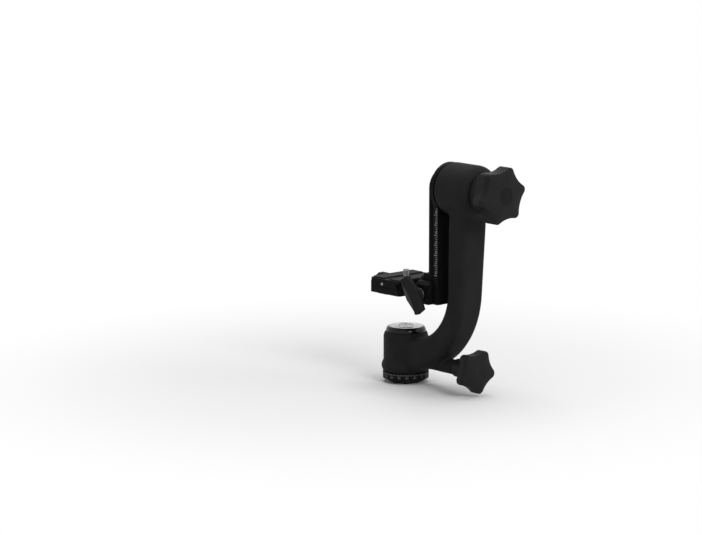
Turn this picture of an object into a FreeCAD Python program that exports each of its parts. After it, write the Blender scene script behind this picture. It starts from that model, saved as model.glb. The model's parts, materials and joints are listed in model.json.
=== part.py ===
import FreeCAD, Part
import math
import os
import Sketcher

# A side-mount gimbal head: base, pan hub, J-shaped arm, tilt hub, rail, platform and quick release.
# Millimetres. Z is the pan axis, the tilt axis runs along X, and the origin is under the base.

doc = FreeCAD.newDocument("GimbalHead")
sheet = doc.addObject("Spreadsheet::Sheet", "Sizes")
Vector = FreeCAD.Vector
nodes = {}


class Size:
    """A number that remembers the sheet formula it came from."""

    def __init__(self, value, text):
        self.value = float(value)
        self.text = text

    def combine(self, other, sign, value, swapped=False):
        mine, theirs = self.text, asSize(other).text
        if swapped:
            mine, theirs = theirs, mine
        return Size(value, "(%s %s %s)" % (mine, sign, theirs))

    def __add__(self, other):
        return self.combine(other, "+", self.value + asSize(other).value)

    def __radd__(self, other):
        return asSize(other) + self

    def __sub__(self, other):
        return self.combine(other, "-", self.value - asSize(other).value)

    def __rsub__(self, other):
        return asSize(other) - self

    def __mul__(self, other):
        return self.combine(other, "*", self.value * asSize(other).value)

    def __rmul__(self, other):
        return asSize(other) * self

    def __truediv__(self, other):
        return self.combine(other, "/", self.value / asSize(other).value)

    def __neg__(self):
        return Size(-self.value, "(0 - %s)" % self.text)


def asSize(number):
    if isinstance(number, Size):
        return number
    return Size(number, "(%.9f)" % number)


def size(name, value):
    """Write one driving dimension into the sheet."""
    row = len(sheetRows) + 1
    sheetRows.append(name)
    sheet.set("A%d" % row, name)
    sheet.set("B%d" % row, str(value))
    sheet.setAlias("B%d" % row, name)
    return Size(value, "Sizes.%s" % name)


def smaller(first, second):
    return Size(min(first.value, second.value), "min(%s; %s)" % (first.text, second.text))


def bind(thing, prop, number):
    thing.setExpression(prop, asSize(number).text)


sheetRows = []

# Clearances
runningFit = size("running_fit", 0.05)
movingGap = size("moving_gap", 0.3)
overcut = size("overcut", 1)

# Base and degree ring
baseFootRadius = size("base_foot_radius", 14.5)
ringRadius = size("ring_radius", 23)
ringBoreRadius = size("ring_bore_radius", 20)
baseChamferHeight = size("base_chamfer_height", 4.5)
ringTop = size("ring_top", 11)
basePlateTop = size("base_plate_top", 10.6)
insertRadius = size("insert_radius", 7.5)
tripodThreadRadius = size("tripod_thread_radius", 4.7625)
insertFlangeRadius = size("insert_flange_radius", 9.5)
insertFlangeThickness = size("insert_flange_thickness", 1.5)
spindleFlangeRadius = size("spindle_flange_radius", 15.5)
spindleFlangeThickness = size("spindle_flange_thickness", 3)
spindleScrewCircle = size("spindle_screw_circle", 11.7)
spindleScrewRadius = size("spindle_screw_radius", 1.5)
spindleScrewHeadRadius = size("spindle_screw_head_radius", 2.7)
spindleScrewHeadHeight = size("spindle_screw_head_height", 1.6)
spindleScrewLength = size("spindle_screw_length", 5.5)
thrustOuterRadius = size("thrust_outer_radius", 19.4)
grubRadius = size("grub_radius", 1.5)
grubHeight = size("grub_height", 7.8)
grubSocketRadius = size("grub_socket_radius", 0.84)
ringGrubDepth = size("ring_grub_depth", 2.2)

# Bearings and shafts
bearingBoreRadius = size("bearing_bore_radius", 7.5)
bearingOuterRadius = size("bearing_outer_radius", 14)
bearingWidth = size("bearing_width", 7)
ballRadius = size("ball_radius", 1.9)
raceWall = size("race_wall", 2.2)
ballCount = 9
shaftThreadRadius = size("shaft_thread_radius", 5)
shaftShoulderRadius = size("shaft_shoulder_radius", 9.2)
nutCornerRadius = size("nut_corner_radius", 9)
nutHeight = size("nut_height", 4)
spindleWasherRadius = size("spindle_washer_radius", 9.8)
spindleWasherThickness = size("spindle_washer_thickness", 1)

# Pan barrel
barrelRadius = size("barrel_radius", 22.4)
barrelBottom = size("barrel_bottom", 11.4)
barrelShoulderInset = size("barrel_shoulder_inset", 2)
barrelShoulderHeight = size("barrel_shoulder_height", 6)
rimRadius = size("rim_radius", 24.3)
rimMiddle = size("rim_middle", 17)
rimHalfHeight = size("rim_half_height", 5.2)
barrelWebRadius = size("barrel_web_radius", 12)
lowerBearingBottom = size("lower_bearing_bottom", 11.7)
upperBearingBottom = size("upper_bearing_bottom", 36)
capSeatRadius = size("cap_seat_radius", 18)
capClearHeight = size("cap_clear_height", 20)

# Hub cap and level
capSkirt = size("cap_skirt", 8.5)
capRadius = size("cap_radius", 20)
capEdge = size("cap_edge", 0.5)
capBevel = size("cap_bevel", 4.6)
capBevelRadius = size("cap_bevel_radius", 5.3)
capTopRadius = size("cap_top_radius", 16.6)
capHollowRadius = size("cap_hollow_radius", 13)
capFloorThickness = size("cap_floor_thickness", 2)
levelSeatDepth = size("level_seat_depth", 5)
bezelRadius = size("bezel_radius", 12.6)
vialRadius = size("vial_radius", 7.6)
vialWall = size("vial_wall", 1)
bezelProud = size("bezel_proud", 0.5)

# J-arm
armWidth = size("arm_width", 33)
armEdgeRound = size("arm_edge_round", 7)
armUnderside = size("arm_underside", 13)
armRootThickness = size("arm_root_thickness", 35)
armRootX = size("arm_root_x", -8)
armInnerSideX = size("arm_inner_side_x", 74.4)
armBendThickness = size("arm_bend_thickness", 21.7)
armInnerBendRadius = size("arm_inner_bend_radius", 54.5)
armOuterBendRadius = size("arm_outer_bend_radius", 90.8)
armRoundShare = 0.45
armInnerLean = 0.7
armOuterLean = 3.9

# Tilt hub
tiltHeight = size("tilt_height", 202.5)
hubRadius = size("hub_radius", 25.8)
hubInnerFace = size("hub_inner_face", 66.7)
hubOuterFace = size("hub_outer_face", 110)
hubInnerRound = size("hub_inner_round", 2.5)
hubOuterRound = size("hub_outer_round", 11)
hubWebRadius = size("hub_web_radius", 11)
innerBearingInset = size("inner_bearing_inset", 0.5)
outerBearingInset = size("outer_bearing_inset", 1)

# Pan lock
panLockHeight = size("pan_lock_height", 25.2)
stemRadius = size("stem_radius", 7.5)
stemEnd = size("stem_end", 73)
panStudRadius = size("pan_stud_radius", 4)
bushRadius = size("bush_radius", 5.2)
bushStart = size("bush_start", 16)
bushLength = size("bush_length", 12)
shoeRadius = size("shoe_radius", 3.2)
panKnobFront = size("pan_knob_front", 107)
panKnobThickness = size("pan_knob_thickness", 12.5)
panKnobBoreDepth = size("pan_knob_bore_depth", 8)
panKnobLobeRadius = size("pan_knob_lobe_radius", 22)
panKnobValleyRadius = size("pan_knob_valley_radius", 17.2)
panKnobTipRadius = size("pan_knob_tip_radius", 5)
panCollarRadius = size("pan_collar_radius", 9)
panCollarGap = size("pan_collar_gap", 2)
panKnobLobes = 5
# A knob's turn starts at its own x axis, which points down once it lies along X.
panKnobTurn = 6

# Tilt lock
tiltKnobFront = size("tilt_knob_front", 141)
tiltKnobThickness = size("tilt_knob_thickness", 17)
tiltKnobLobeRadius = size("tilt_knob_lobe_radius", 28.5)
tiltKnobValleyRadius = size("tilt_knob_valley_radius", 23.2)
tiltKnobTipRadius = size("tilt_knob_tip_radius", 4.8)
tiltCollarRadius = size("tilt_collar_radius", 21.4)
tiltCollarBackRadius = size("tilt_collar_back_radius", 20.2)
frictionWasherThickness = size("friction_washer_thickness", 1)
frictionWasherRadius = size("friction_washer_radius", 14)
knobEdgeRound = size("knob_edge_round", 1.2)
knobDishRadius = size("knob_dish_radius", 8.2)
knobDishDepth = size("knob_dish_depth", 0.6)
knobInsertWall = size("knob_insert_wall", 3)
knobInsertLength = size("knob_insert_length", 20)
shaftEndRecess = size("shaft_end_recess", 1)
tiltKnobLobes = 6
tiltKnobTurn = 40.3

# Rail
railFront = size("rail_front", 53.5)
railBack = size("rail_back", 66.2)
railHalfWidth = size("rail_half_width", 19)
railBottom = size("rail_bottom", 88.5)
railLip = size("rail_lip", 1.2)
grooveDepth = size("groove_depth", 2.5)
grooveFlat = size("groove_flat", 1)
grooveRise = size("groove_rise", 1.4)
headDiscRadius = size("head_disc_radius", 25.4)
headDiscThickness = size("head_disc_thickness", 5)
shaftFlangeRadius = size("shaft_flange_radius", 13)
shaftFlangeThickness = size("shaft_flange_thickness", 5)
shaftSeatDepth = size("shaft_seat_depth", 8.5)
shaftScrewCircle = size("shaft_screw_circle", 10.2)
shaftScrewHeadRadius = size("shaft_screw_head_radius", 2.2)
shaftScrewHeadHeight = size("shaft_screw_head_height", 2)
shaftScrewRadius = size("shaft_screw_radius", 1.25)
shaftScrewLength = size("shaft_screw_length", 7)
stopHeadRadius = size("stop_head_radius", 3.5)
stopHeadHeight = size("stop_head_height", 2)
stopScrewRadius = size("stop_screw_radius", 1.5)
stopScrewLength = size("stop_screw_length", 8)
stopSpacing = size("stop_spacing", 16)
stopInset = size("stop_inset", 2)

# Rail bracket and its jaw
bracketBack = size("bracket_back", 41.5)
bracketHeight = size("bracket_height", 28.5)
bracketReach = size("bracket_reach", 25)
bracketChamfer = size("bracket_chamfer", 2)
jawHeight = size("jaw_height", 22)
jawSplit = size("jaw_split", 14.8)
jawTopChamfer = size("jaw_top_chamfer", 3)
jawLipThickness = size("jaw_lip_thickness", 0.7)
lipGap = size("lip_gap", 0.09)
guidePinRadius = size("guide_pin_radius", 1.5)
guidePinLength = size("guide_pin_length", 14)
guidePinInset = size("guide_pin_inset", 2.5)
upperPinInset = size("upper_pin_inset", 4.8)
wingScrewX = size("wing_screw_x", 47.3)
wingScrewHeight = size("wing_screw_height", 97.8)
wingStudRadius = size("wing_stud_radius", 2.5)
wingStudLength = size("wing_stud_length", 30)
wingWasherRadius = size("wing_washer_radius", 6.5)
wingWasherThickness = size("wing_washer_thickness", 1.2)
wingHubRadius = size("wing_hub_radius", 7)
wingHubLength = size("wing_hub_length", 8)
wingHalfSpan = size("wing_half_span", 19)
wingRootHalfWidth = size("wing_root_half_width", 8.6)
wingTipHalfWidth = size("wing_tip_half_width", 5)
wingThickness = size("wing_thickness", 8)
wingEdgeRound = size("wing_edge_round", 2.4)
wingEndRound = size("wing_end_round", 2.6)
wingSetBack = size("wing_set_back", 3.2)
wingHubFrontRadius = size("wing_hub_front_radius", 6.2)
wingTilt = 53.5

# Quick-release clamp and plate
clampHalfWidth = size("clamp_half_width", 21.6)
clampHalfLength = size("clamp_half_length", 29.3)
clampBottom = size("clamp_bottom", 91.9)
clampFloorTop = size("clamp_floor_top", 98.2)
clampCorner = size("clamp_corner", 2)
clampNeckHalfWidth = size("clamp_neck_half_width", 17)
clampFlangeThickness = size("clamp_flange_thickness", 4)
clampFlangeTop = size("clamp_flange_top", 114)
flangeScrewInset = size("flange_screw_inset", 6.4)
gussetHeight = size("gusset_height", 6)
jawRootOverlap = size("jaw_root_overlap", 0.5)
clampJawSplit = size("clamp_jaw_split", 15)
plateLip = size("plate_lip", 1.5)
plateTaper = size("plate_taper", 2.5)
plateNeck = size("plate_neck", 0.8)
plateFlange = size("plate_flange", 3.1)
plateHalfWidth = size("plate_half_width", 19)
plateFlangeHalfWidth = size("plate_flange_half_width", 21)
plateHalfLength = size("plate_half_length", 29.3)
padThickness = size("pad_thickness", 1.2)
padInset = size("pad_inset", 3)
padStripHalfWidth = size("pad_strip_half_width", 7.6)
stopSlotHalfWidth = size("stop_slot_half_width", 2.8)
stopSlotDepth = size("stop_slot_depth", 3)
stopSlotHalfLength = size("stop_slot_half_length", 26.8)
plateStopSpacing = size("plate_stop_spacing", 28)
plateStopRadius = size("plate_stop_radius", 2.2)
plateStopShankRadius = size("plate_stop_shank_radius", 1.5)
plateStopDrop = size("plate_stop_drop", 2)
plateStopLength = size("plate_stop_length", 4)
endScrewX = size("end_screw_x", -4)
endScrewRadius = size("end_screw_radius", 1.9)
endScrewDepth = size("end_screw_depth", 8)
endScrewRise = size("end_screw_rise", 2.85)
endScrewRecess = size("end_screw_recess", 0.2)
screwChamfer = size("screw_chamfer", 0.6)
clampStudRadius = size("clamp_stud_radius", 2.5)
clampStudEndWall = size("clamp_stud_end_wall", 1.5)
clampKnobRadius = size("clamp_knob_radius", 11)
clampKnobLength = size("clamp_knob_length", 14)
clampKnobNeckRadius = size("clamp_knob_neck_radius", 6)
clampKnobNeckLength = size("clamp_knob_neck_length", 3)
clampKnobBackChamfer = size("clamp_knob_back_chamfer", 1)
clampKnobFrontChamfer = size("clamp_knob_front_chamfer", 1.5)
scallopRadius = size("scallop_radius", 1.76)
scallopOffset = size("scallop_offset", 0.8)
scallopCount = 14
clampPinSpacing = size("clamp_pin_spacing", 36)
clampPinLength = size("clamp_pin_length", 11)
cameraScrewRadius = size("camera_screw_radius", 3.175)
cameraScrewHeadRadius = size("camera_screw_head_radius", 7.2)
cameraScrewHeadHeight = size("camera_screw_head_height", 2.8)
cameraScrewProud = size("camera_screw_proud", 6)
cameraNeckRadius = size("camera_neck_radius", 2.6)

# Socket screws: the socket's corner radius and depth as shares of the shank and the head
socketWidthShare = 0.9
socketDepthShare = 0.6

# Sizes that follow from the ones above
shaftRadius = bearingBoreRadius - runningFit
grooveBottom = railHalfWidth - grooveDepth
clampStudHeight = (clampBottom + clampFloorTop) / 2
plateBottom = clampFloorTop + movingGap
plateTop = plateBottom + plateLip + plateTaper + plateNeck + plateFlange
padTop = plateTop + padThickness
panKnobBack = panKnobFront - panKnobThickness
tiltKnobBack = tiltKnobFront - tiltKnobThickness
frictionWasherBack = hubOuterFace + movingGap
tiltCollarBack = frictionWasherBack + frictionWasherThickness
spindleFlangeBottom = basePlateTop - spindleFlangeThickness
upperBearingTop = upperBearingBottom + bearingWidth
barrelTop = upperBearingTop + capSkirt
capTop = barrelTop + capEdge + capBevel
armRootTop = armUnderside + armRootThickness
armInnerBendX = armInnerSideX - armInnerBendRadius
armInnerBendHeight = armRootTop + armInnerBendRadius
armOuterBendX = armInnerSideX + armBendThickness - armOuterBendRadius
armOuterBendHeight = armUnderside + armOuterBendRadius
spindleWasherBottom = upperBearingTop + movingGap
spindleNutBottom = spindleWasherBottom + spindleWasherThickness
spindleTop = spindleNutBottom + nutHeight
bracketFace = railFront - movingGap
innerBearingX = hubInnerFace + innerBearingInset
outerBearingX = hubOuterFace - outerBearingInset - bearingWidth
shaftFlangeBack = railFront + shaftSeatDepth
wingBladeBack = wingHubLength - wingSetBack


def newBody(label):
    body = doc.addObject("PartDesign::Body", label)
    body.Label = label
    nodes[label] = body
    return body


def originPlane(body, role):
    for feature in body.Origin.OriginFeatures:
        if feature.Role == role:
            return feature
    raise ValueError(role)


def newSketch(body, name, role, liftAlong=None, lift=None):
    """A sketch on one of the body's own planes, raised off it by a bound distance."""
    sketch = body.newObject("Sketcher::SketchObject", name)
    sketch.AttachmentSupport = [(originPlane(body, role), "")]
    sketch.MapMode = "FlatFace"
    if liftAlong:
        bind(sketch, "AttachmentOffset.Base." + liftAlong, lift)
    return sketch


def fixPoint(sketch, geometry, end, x, y):
    """Pin one end of a line or arc to bound coordinates."""
    for kind, number in (("DistanceX", x), ("DistanceY", y)):
        number = asSize(number)
        index = sketch.addConstraint(Sketcher.Constraint(kind, -1, 1, geometry, end, number.value))
        sketch.setExpression("Constraints[%d]" % index, number.text)


def drawOutline(sketch, points):
    """Closed outline. A point is (x, y) or (x, y, radius, bulge): an arc that leads to it.

    The bulge is 1 for an arc that turns left on its way, and -1 for one that turns right.
    """
    count = len(points)
    for index in range(count):
        start, goal = points[index - 1], points[index]
        first = Vector(asSize(start[0]).value, asSize(start[1]).value, 0)
        last = Vector(asSize(goal[0]).value, asSize(goal[1]).value, 0)
        if len(goal) == 2:
            sketch.addGeometry(Part.LineSegment(first, last), False)
        else:
            sketch.addGeometry(arcBetween(first, last, asSize(goal[2]).value, goal[3]), False)
    for index in range(count):
        isArc = len(points[index]) == 4
        turnsRight = isArc and points[index][3] < 0
        endHere = 1 if turnsRight else 2
        following = (index + 1) % count
        followingRight = len(points[following]) == 4 and points[following][3] < 0
        startNext = 2 if followingRight else 1
        sketch.addConstraint(Sketcher.Constraint("Coincident", index, endHere, following, startNext))
        fixPoint(sketch, index, endHere, points[index][0], points[index][1])
        if isArc:
            radius = asSize(points[index][2])
            number = sketch.addConstraint(Sketcher.Constraint("Radius", index, radius.value))
            sketch.setExpression("Constraints[%d]" % number, radius.text)


def arcBetween(first, last, radius, bulge):
    """The shorter arc of this radius between two points."""
    chord = last - first
    middle = (first + last) * 0.5
    rise = math.sqrt(max(radius ** 2 - (chord.Length / 2) ** 2, 0))
    side = Vector(-chord.y, chord.x, 0).normalize()
    centre = middle + side * (rise * bulge)
    startAngle = math.atan2(first.y - centre.y, first.x - centre.x)
    endAngle = math.atan2(last.y - centre.y, last.x - centre.x)
    if bulge < 0:
        startAngle, endAngle = endAngle, startAngle
    return Part.ArcOfCircle(Part.Circle(centre, Vector(0, 0, 1), radius), startAngle, endAngle)


def drawCircle(sketch, x, y, radius):
    x, y, radius = asSize(x), asSize(y), asSize(radius)
    circle = Part.Circle(Vector(x.value, y.value, 0), Vector(0, 0, 1), radius.value)
    index = sketch.addGeometry(circle, False)
    fixPoint(sketch, index, 3, x, y)
    number = sketch.addConstraint(Sketcher.Constraint("Radius", index, radius.value))
    sketch.setExpression("Constraints[%d]" % number, radius.text)


def spin(body, sketch, name, axis="V_Axis", cut=False):
    kind = "PartDesign::Groove" if cut else "PartDesign::Revolution"
    feature = body.newObject(kind, name)
    feature.Profile = sketch
    feature.ReferenceAxis = (sketch, [axis])
    feature.Angle = 360
    sketch.Visibility = False
    return feature


def extrude(body, sketch, name, length, cut=False, both=False, back=False):
    kind = "PartDesign::Pocket" if cut else "PartDesign::Pad"
    feature = body.newObject(kind, name)
    feature.Profile = sketch
    feature.Type = 0
    bind(feature, "Length", length)
    feature.Midplane = both
    feature.Reversed = back
    sketch.Visibility = False
    return feature


def roundEdges(body, name, radius, chosen, chamfer=False):
    """Fillet or chamfer the edges of the tip that the test chooses."""
    doc.recompute()
    tip = body.Tip
    names = ["Edge%d" % (i + 1) for i, edge in enumerate(tip.Shape.Edges) if chosen(edge)]
    kind = "PartDesign::Chamfer" if chamfer else "PartDesign::Fillet"
    feature = body.newObject(kind, name)
    feature.Base = (tip, names)
    bind(feature, "Size" if chamfer else "Radius", radius)
    return feature


def put(body, x=0, y=0, z=0, axis=None, angle=0):
    """Place a node: a turn about one axis and bound coordinates."""
    if axis:
        body.Placement = FreeCAD.Placement(Vector(0, 0, 0), FreeCAD.Rotation(Vector(*axis), angle))
    for letter, number in zip("xyz", (x, y, z)):
        bind(body, "Placement.Base." + letter, number)


def turned(label, outline):
    """A piece turned about its own Z axis: the outline is radius, height."""
    body = newBody(label)
    sketch = newSketch(body, label + "_section", "XZ_Plane")
    drawOutline(sketch, outline)
    spin(body, sketch, label + "_turned")
    return body


def alongX(body, x, height):
    """Lay a turned piece along X, with its own Z pointing to +X."""
    put(body, x, 0, height, (0, 1, 0), 90)


def ring(label, inner, outer, height):
    return turned(label, [(inner, 0), (outer, 0), (outer, height), (inner, height)])


def cylinder(name, radius, height, x=0, y=0, z=0, axis=None, angle=0):
    shape = doc.addObject("Part::Cylinder", name)
    bind(shape, "Radius", radius)
    bind(shape, "Height", height)
    put(shape, x, y, z, axis, angle)
    return shape


def screws(label, places, axis, angle, headRadius, headHeight, shankRadius, shankLength):
    """A group of socket screws. Each head stands on its place, and its shank goes below it."""
    group = []
    for number, (x, y, z) in enumerate(places):
        name = "%s_%d" % (label, number)
        blank = doc.addObject("PartDesign::Body", name)
        sketch = newSketch(blank, name + "_section", "XZ_Plane")
        drawOutline(sketch, [
            (0, headHeight), (0, -shankLength), (shankRadius, -shankLength), (shankRadius, 0),
            (headRadius, 0), (headRadius, headHeight)])
        spin(blank, sketch, name + "_turned")
        socketSketch = newSketch(blank, name + "_socket", "XY_Plane", "z", headHeight)
        hexagon(socketSketch, shankRadius * socketWidthShare)
        extrude(blank, socketSketch, name + "_socket_cut", headHeight * socketDepthShare, cut=True)
        put(blank, x, y, z, axis, angle)
        group.append(blank)
    compound = doc.addObject("Part::Compound", label)
    compound.Label = label
    compound.Links = group
    nodes[label] = compound
    return compound


def hexagon(sketch, cornerRadius):
    corners = []
    for step in range(6):
        turn = math.radians(60 * step)
        corners.append((cornerRadius * math.cos(turn), cornerRadius * math.sin(turn)))
    drawOutline(sketch, corners)


def ballBearing(label):
    """Outer race, inner race, and a ring of balls between them, standing on Z 0."""
    middle = (bearingBoreRadius + bearingOuterRadius) / 2
    outerWallRadius = bearingOuterRadius - raceWall
    innerWallRadius = bearingBoreRadius + raceWall
    pieces = []
    for name, inner, outer in (("outer", outerWallRadius, bearingOuterRadius),
                               ("inner", bearingBoreRadius, innerWallRadius)):
        race = doc.addObject("PartDesign::Body", label + "_" + name)
        sketch = newSketch(race, label + "_%s_section" % name, "XZ_Plane")
        drawOutline(sketch, [(inner, 0), (outer, 0), (outer, bearingWidth), (inner, bearingWidth)])
        spin(race, sketch, label + "_%s_turned" % name)
        groove = newSketch(race, label + "_%s_groove" % name, "XZ_Plane")
        drawCircle(groove, middle, bearingWidth / 2, ballRadius + runningFit)
        spin(race, groove, label + "_%s_race" % name, cut=True)
        pieces.append(race)
    for step in range(ballCount):
        turn = 2 * math.pi * step / ballCount
        ball = doc.addObject("Part::Sphere", "%s_ball_%d" % (label, step))
        bind(ball, "Radius", ballRadius)
        put(ball, middle * math.cos(turn), middle * math.sin(turn), bearingWidth / 2)
        pieces.append(ball)
    compound = doc.addObject("Part::Compound", label)
    compound.Label = label
    compound.Links = pieces
    nodes[label] = compound
    return compound


def knobOutline(sketch, lobes, firstLobe, outerRadius, valleyRadius, tipRadius):
    """Convex lobes and hollow valleys as tangent arcs."""
    halfStep = math.pi / lobes
    lean = math.cos(halfStep)
    tipCentre = outerRadius - tipRadius
    valleyArc = ((tipRadius * tipRadius - tipCentre * tipCentre - valleyRadius * valleyRadius
                  + tipCentre * valleyRadius * (2 * lean))
                 / ((valleyRadius - tipCentre * lean - tipRadius) * 2))
    valleyCentre = valleyRadius + valleyArc
    share = tipRadius / (tipRadius + valleyArc)
    points = []
    for step in range(lobes):
        middle = math.radians(firstLobe) + 2 * halfStep * step
        for side in (-1, 1):
            dip = middle + side * halfStep
            x = tipCentre * math.cos(middle) * (1 - share) + valleyCentre * math.cos(dip) * share
            y = tipCentre * math.sin(middle) * (1 - share) + valleyCentre * math.sin(dip) * share
            if side < 0:
                points.append((x, y, valleyArc, -1))
            else:
                points.append((x, y, tipRadius, 1))
    drawOutline(sketch, points)


def buildBase():
    # The base plate holds the tripod insert below and the spindle flange above.
    body = turned("base_plate", [
        (insertRadius, insertFlangeThickness), (insertFlangeRadius, insertFlangeThickness),
        (insertFlangeRadius, 0), (baseFootRadius, 0), (ringRadius, baseChamferHeight),
        (ringBoreRadius, baseChamferHeight), (ringBoreRadius, basePlateTop),
        (spindleFlangeRadius, basePlateTop), (spindleFlangeRadius, spindleFlangeBottom),
        (insertRadius, spindleFlangeBottom)])
    holes = newSketch(body, "spindle_screw_holes", "XY_Plane", "z", spindleFlangeBottom)
    for x, y, z in spindleScrewPlaces():
        drawCircle(holes, x, y, spindleScrewRadius)
    depth = spindleScrewLength - spindleFlangeThickness + spindleScrewHeadHeight
    extrude(body, holes, "spindle_screw_cut", depth, cut=True)

    # The insert is a stepped steel bush with the tripod thread in it.
    turned("thread_insert", [
        (tripodThreadRadius, 0), (insertFlangeRadius, 0), (insertFlangeRadius, insertFlangeThickness),
        (insertRadius, insertFlangeThickness), (insertRadius, spindleFlangeBottom),
        (tripodThreadRadius, spindleFlangeBottom)])

    # The degree ring is let in round the plate and held by a grub screw.
    body = turned("degree_ring", [
        (ringBoreRadius, baseChamferHeight), (ringRadius, baseChamferHeight), (ringRadius, ringTop),
        (ringBoreRadius, ringTop)])
    hole = newSketch(body, "grub_hole", "XZ_Plane")
    drawCircle(hole, 0, grubHeight, grubRadius)
    extrude(body, hole, "grub_cut", ringRadius + overcut, cut=True)
    grub = ring("ring_grub_screw", grubSocketRadius, grubRadius, ringGrubDepth)
    put(grub, 0, ringBoreRadius, grubHeight, (1, 0, 0), -90)

    # The spindle carries both pan bearings and its nut.
    body = turned("pan_spindle", [
        (0, spindleFlangeBottom), (spindleFlangeRadius, spindleFlangeBottom),
        (spindleFlangeRadius, basePlateTop), (shaftShoulderRadius, basePlateTop),
        (shaftShoulderRadius, lowerBearingBottom - movingGap),
        (shaftRadius, lowerBearingBottom - movingGap), (shaftRadius, spindleWasherBottom),
        (shaftThreadRadius, spindleWasherBottom), (shaftThreadRadius, spindleTop), (0, spindleTop)])
    seats = newSketch(body, "spindle_seats", "XY_Plane", "z", basePlateTop)
    holes = newSketch(body, "spindle_holes", "XY_Plane", "z", basePlateTop)
    for x, y, z in spindleScrewPlaces():
        drawCircle(seats, x, y, spindleScrewHeadRadius)
        drawCircle(holes, x, y, spindleScrewRadius)
    extrude(body, seats, "spindle_seat_cut", spindleScrewHeadHeight, cut=True)
    extrude(body, holes, "spindle_hole_cut", spindleFlangeThickness + overcut, cut=True)
    screws("spindle_screws", spindleScrewPlaces(), None, 0, spindleScrewHeadRadius,
           spindleScrewHeadHeight, spindleScrewRadius, spindleScrewLength)

    washer = ring("pan_thrust_washer", spindleFlangeRadius, thrustOuterRadius,
                  barrelBottom - movingGap - basePlateTop)
    put(washer, 0, 0, basePlateTop)
    washer = ring("spindle_washer", shaftThreadRadius, spindleWasherRadius, spindleWasherThickness)
    put(washer, 0, 0, spindleWasherBottom)
    nut = newBody("spindle_nut")
    sketch = newSketch(nut, "nut_outline", "XY_Plane")
    hexagon(sketch, nutCornerRadius)
    drawCircle(sketch, 0, 0, shaftThreadRadius)
    extrude(nut, sketch, "nut_pad", nutHeight)
    put(nut, 0, 0, spindleNutBottom)


def spindleScrewPlaces():
    places = []
    for step in range(4):
        turn = math.radians(45 + 90 * step)
        places.append((spindleScrewCircle * math.cos(turn), spindleScrewCircle * math.sin(turn),
                       basePlateTop - spindleScrewHeadHeight))
    return places


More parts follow.
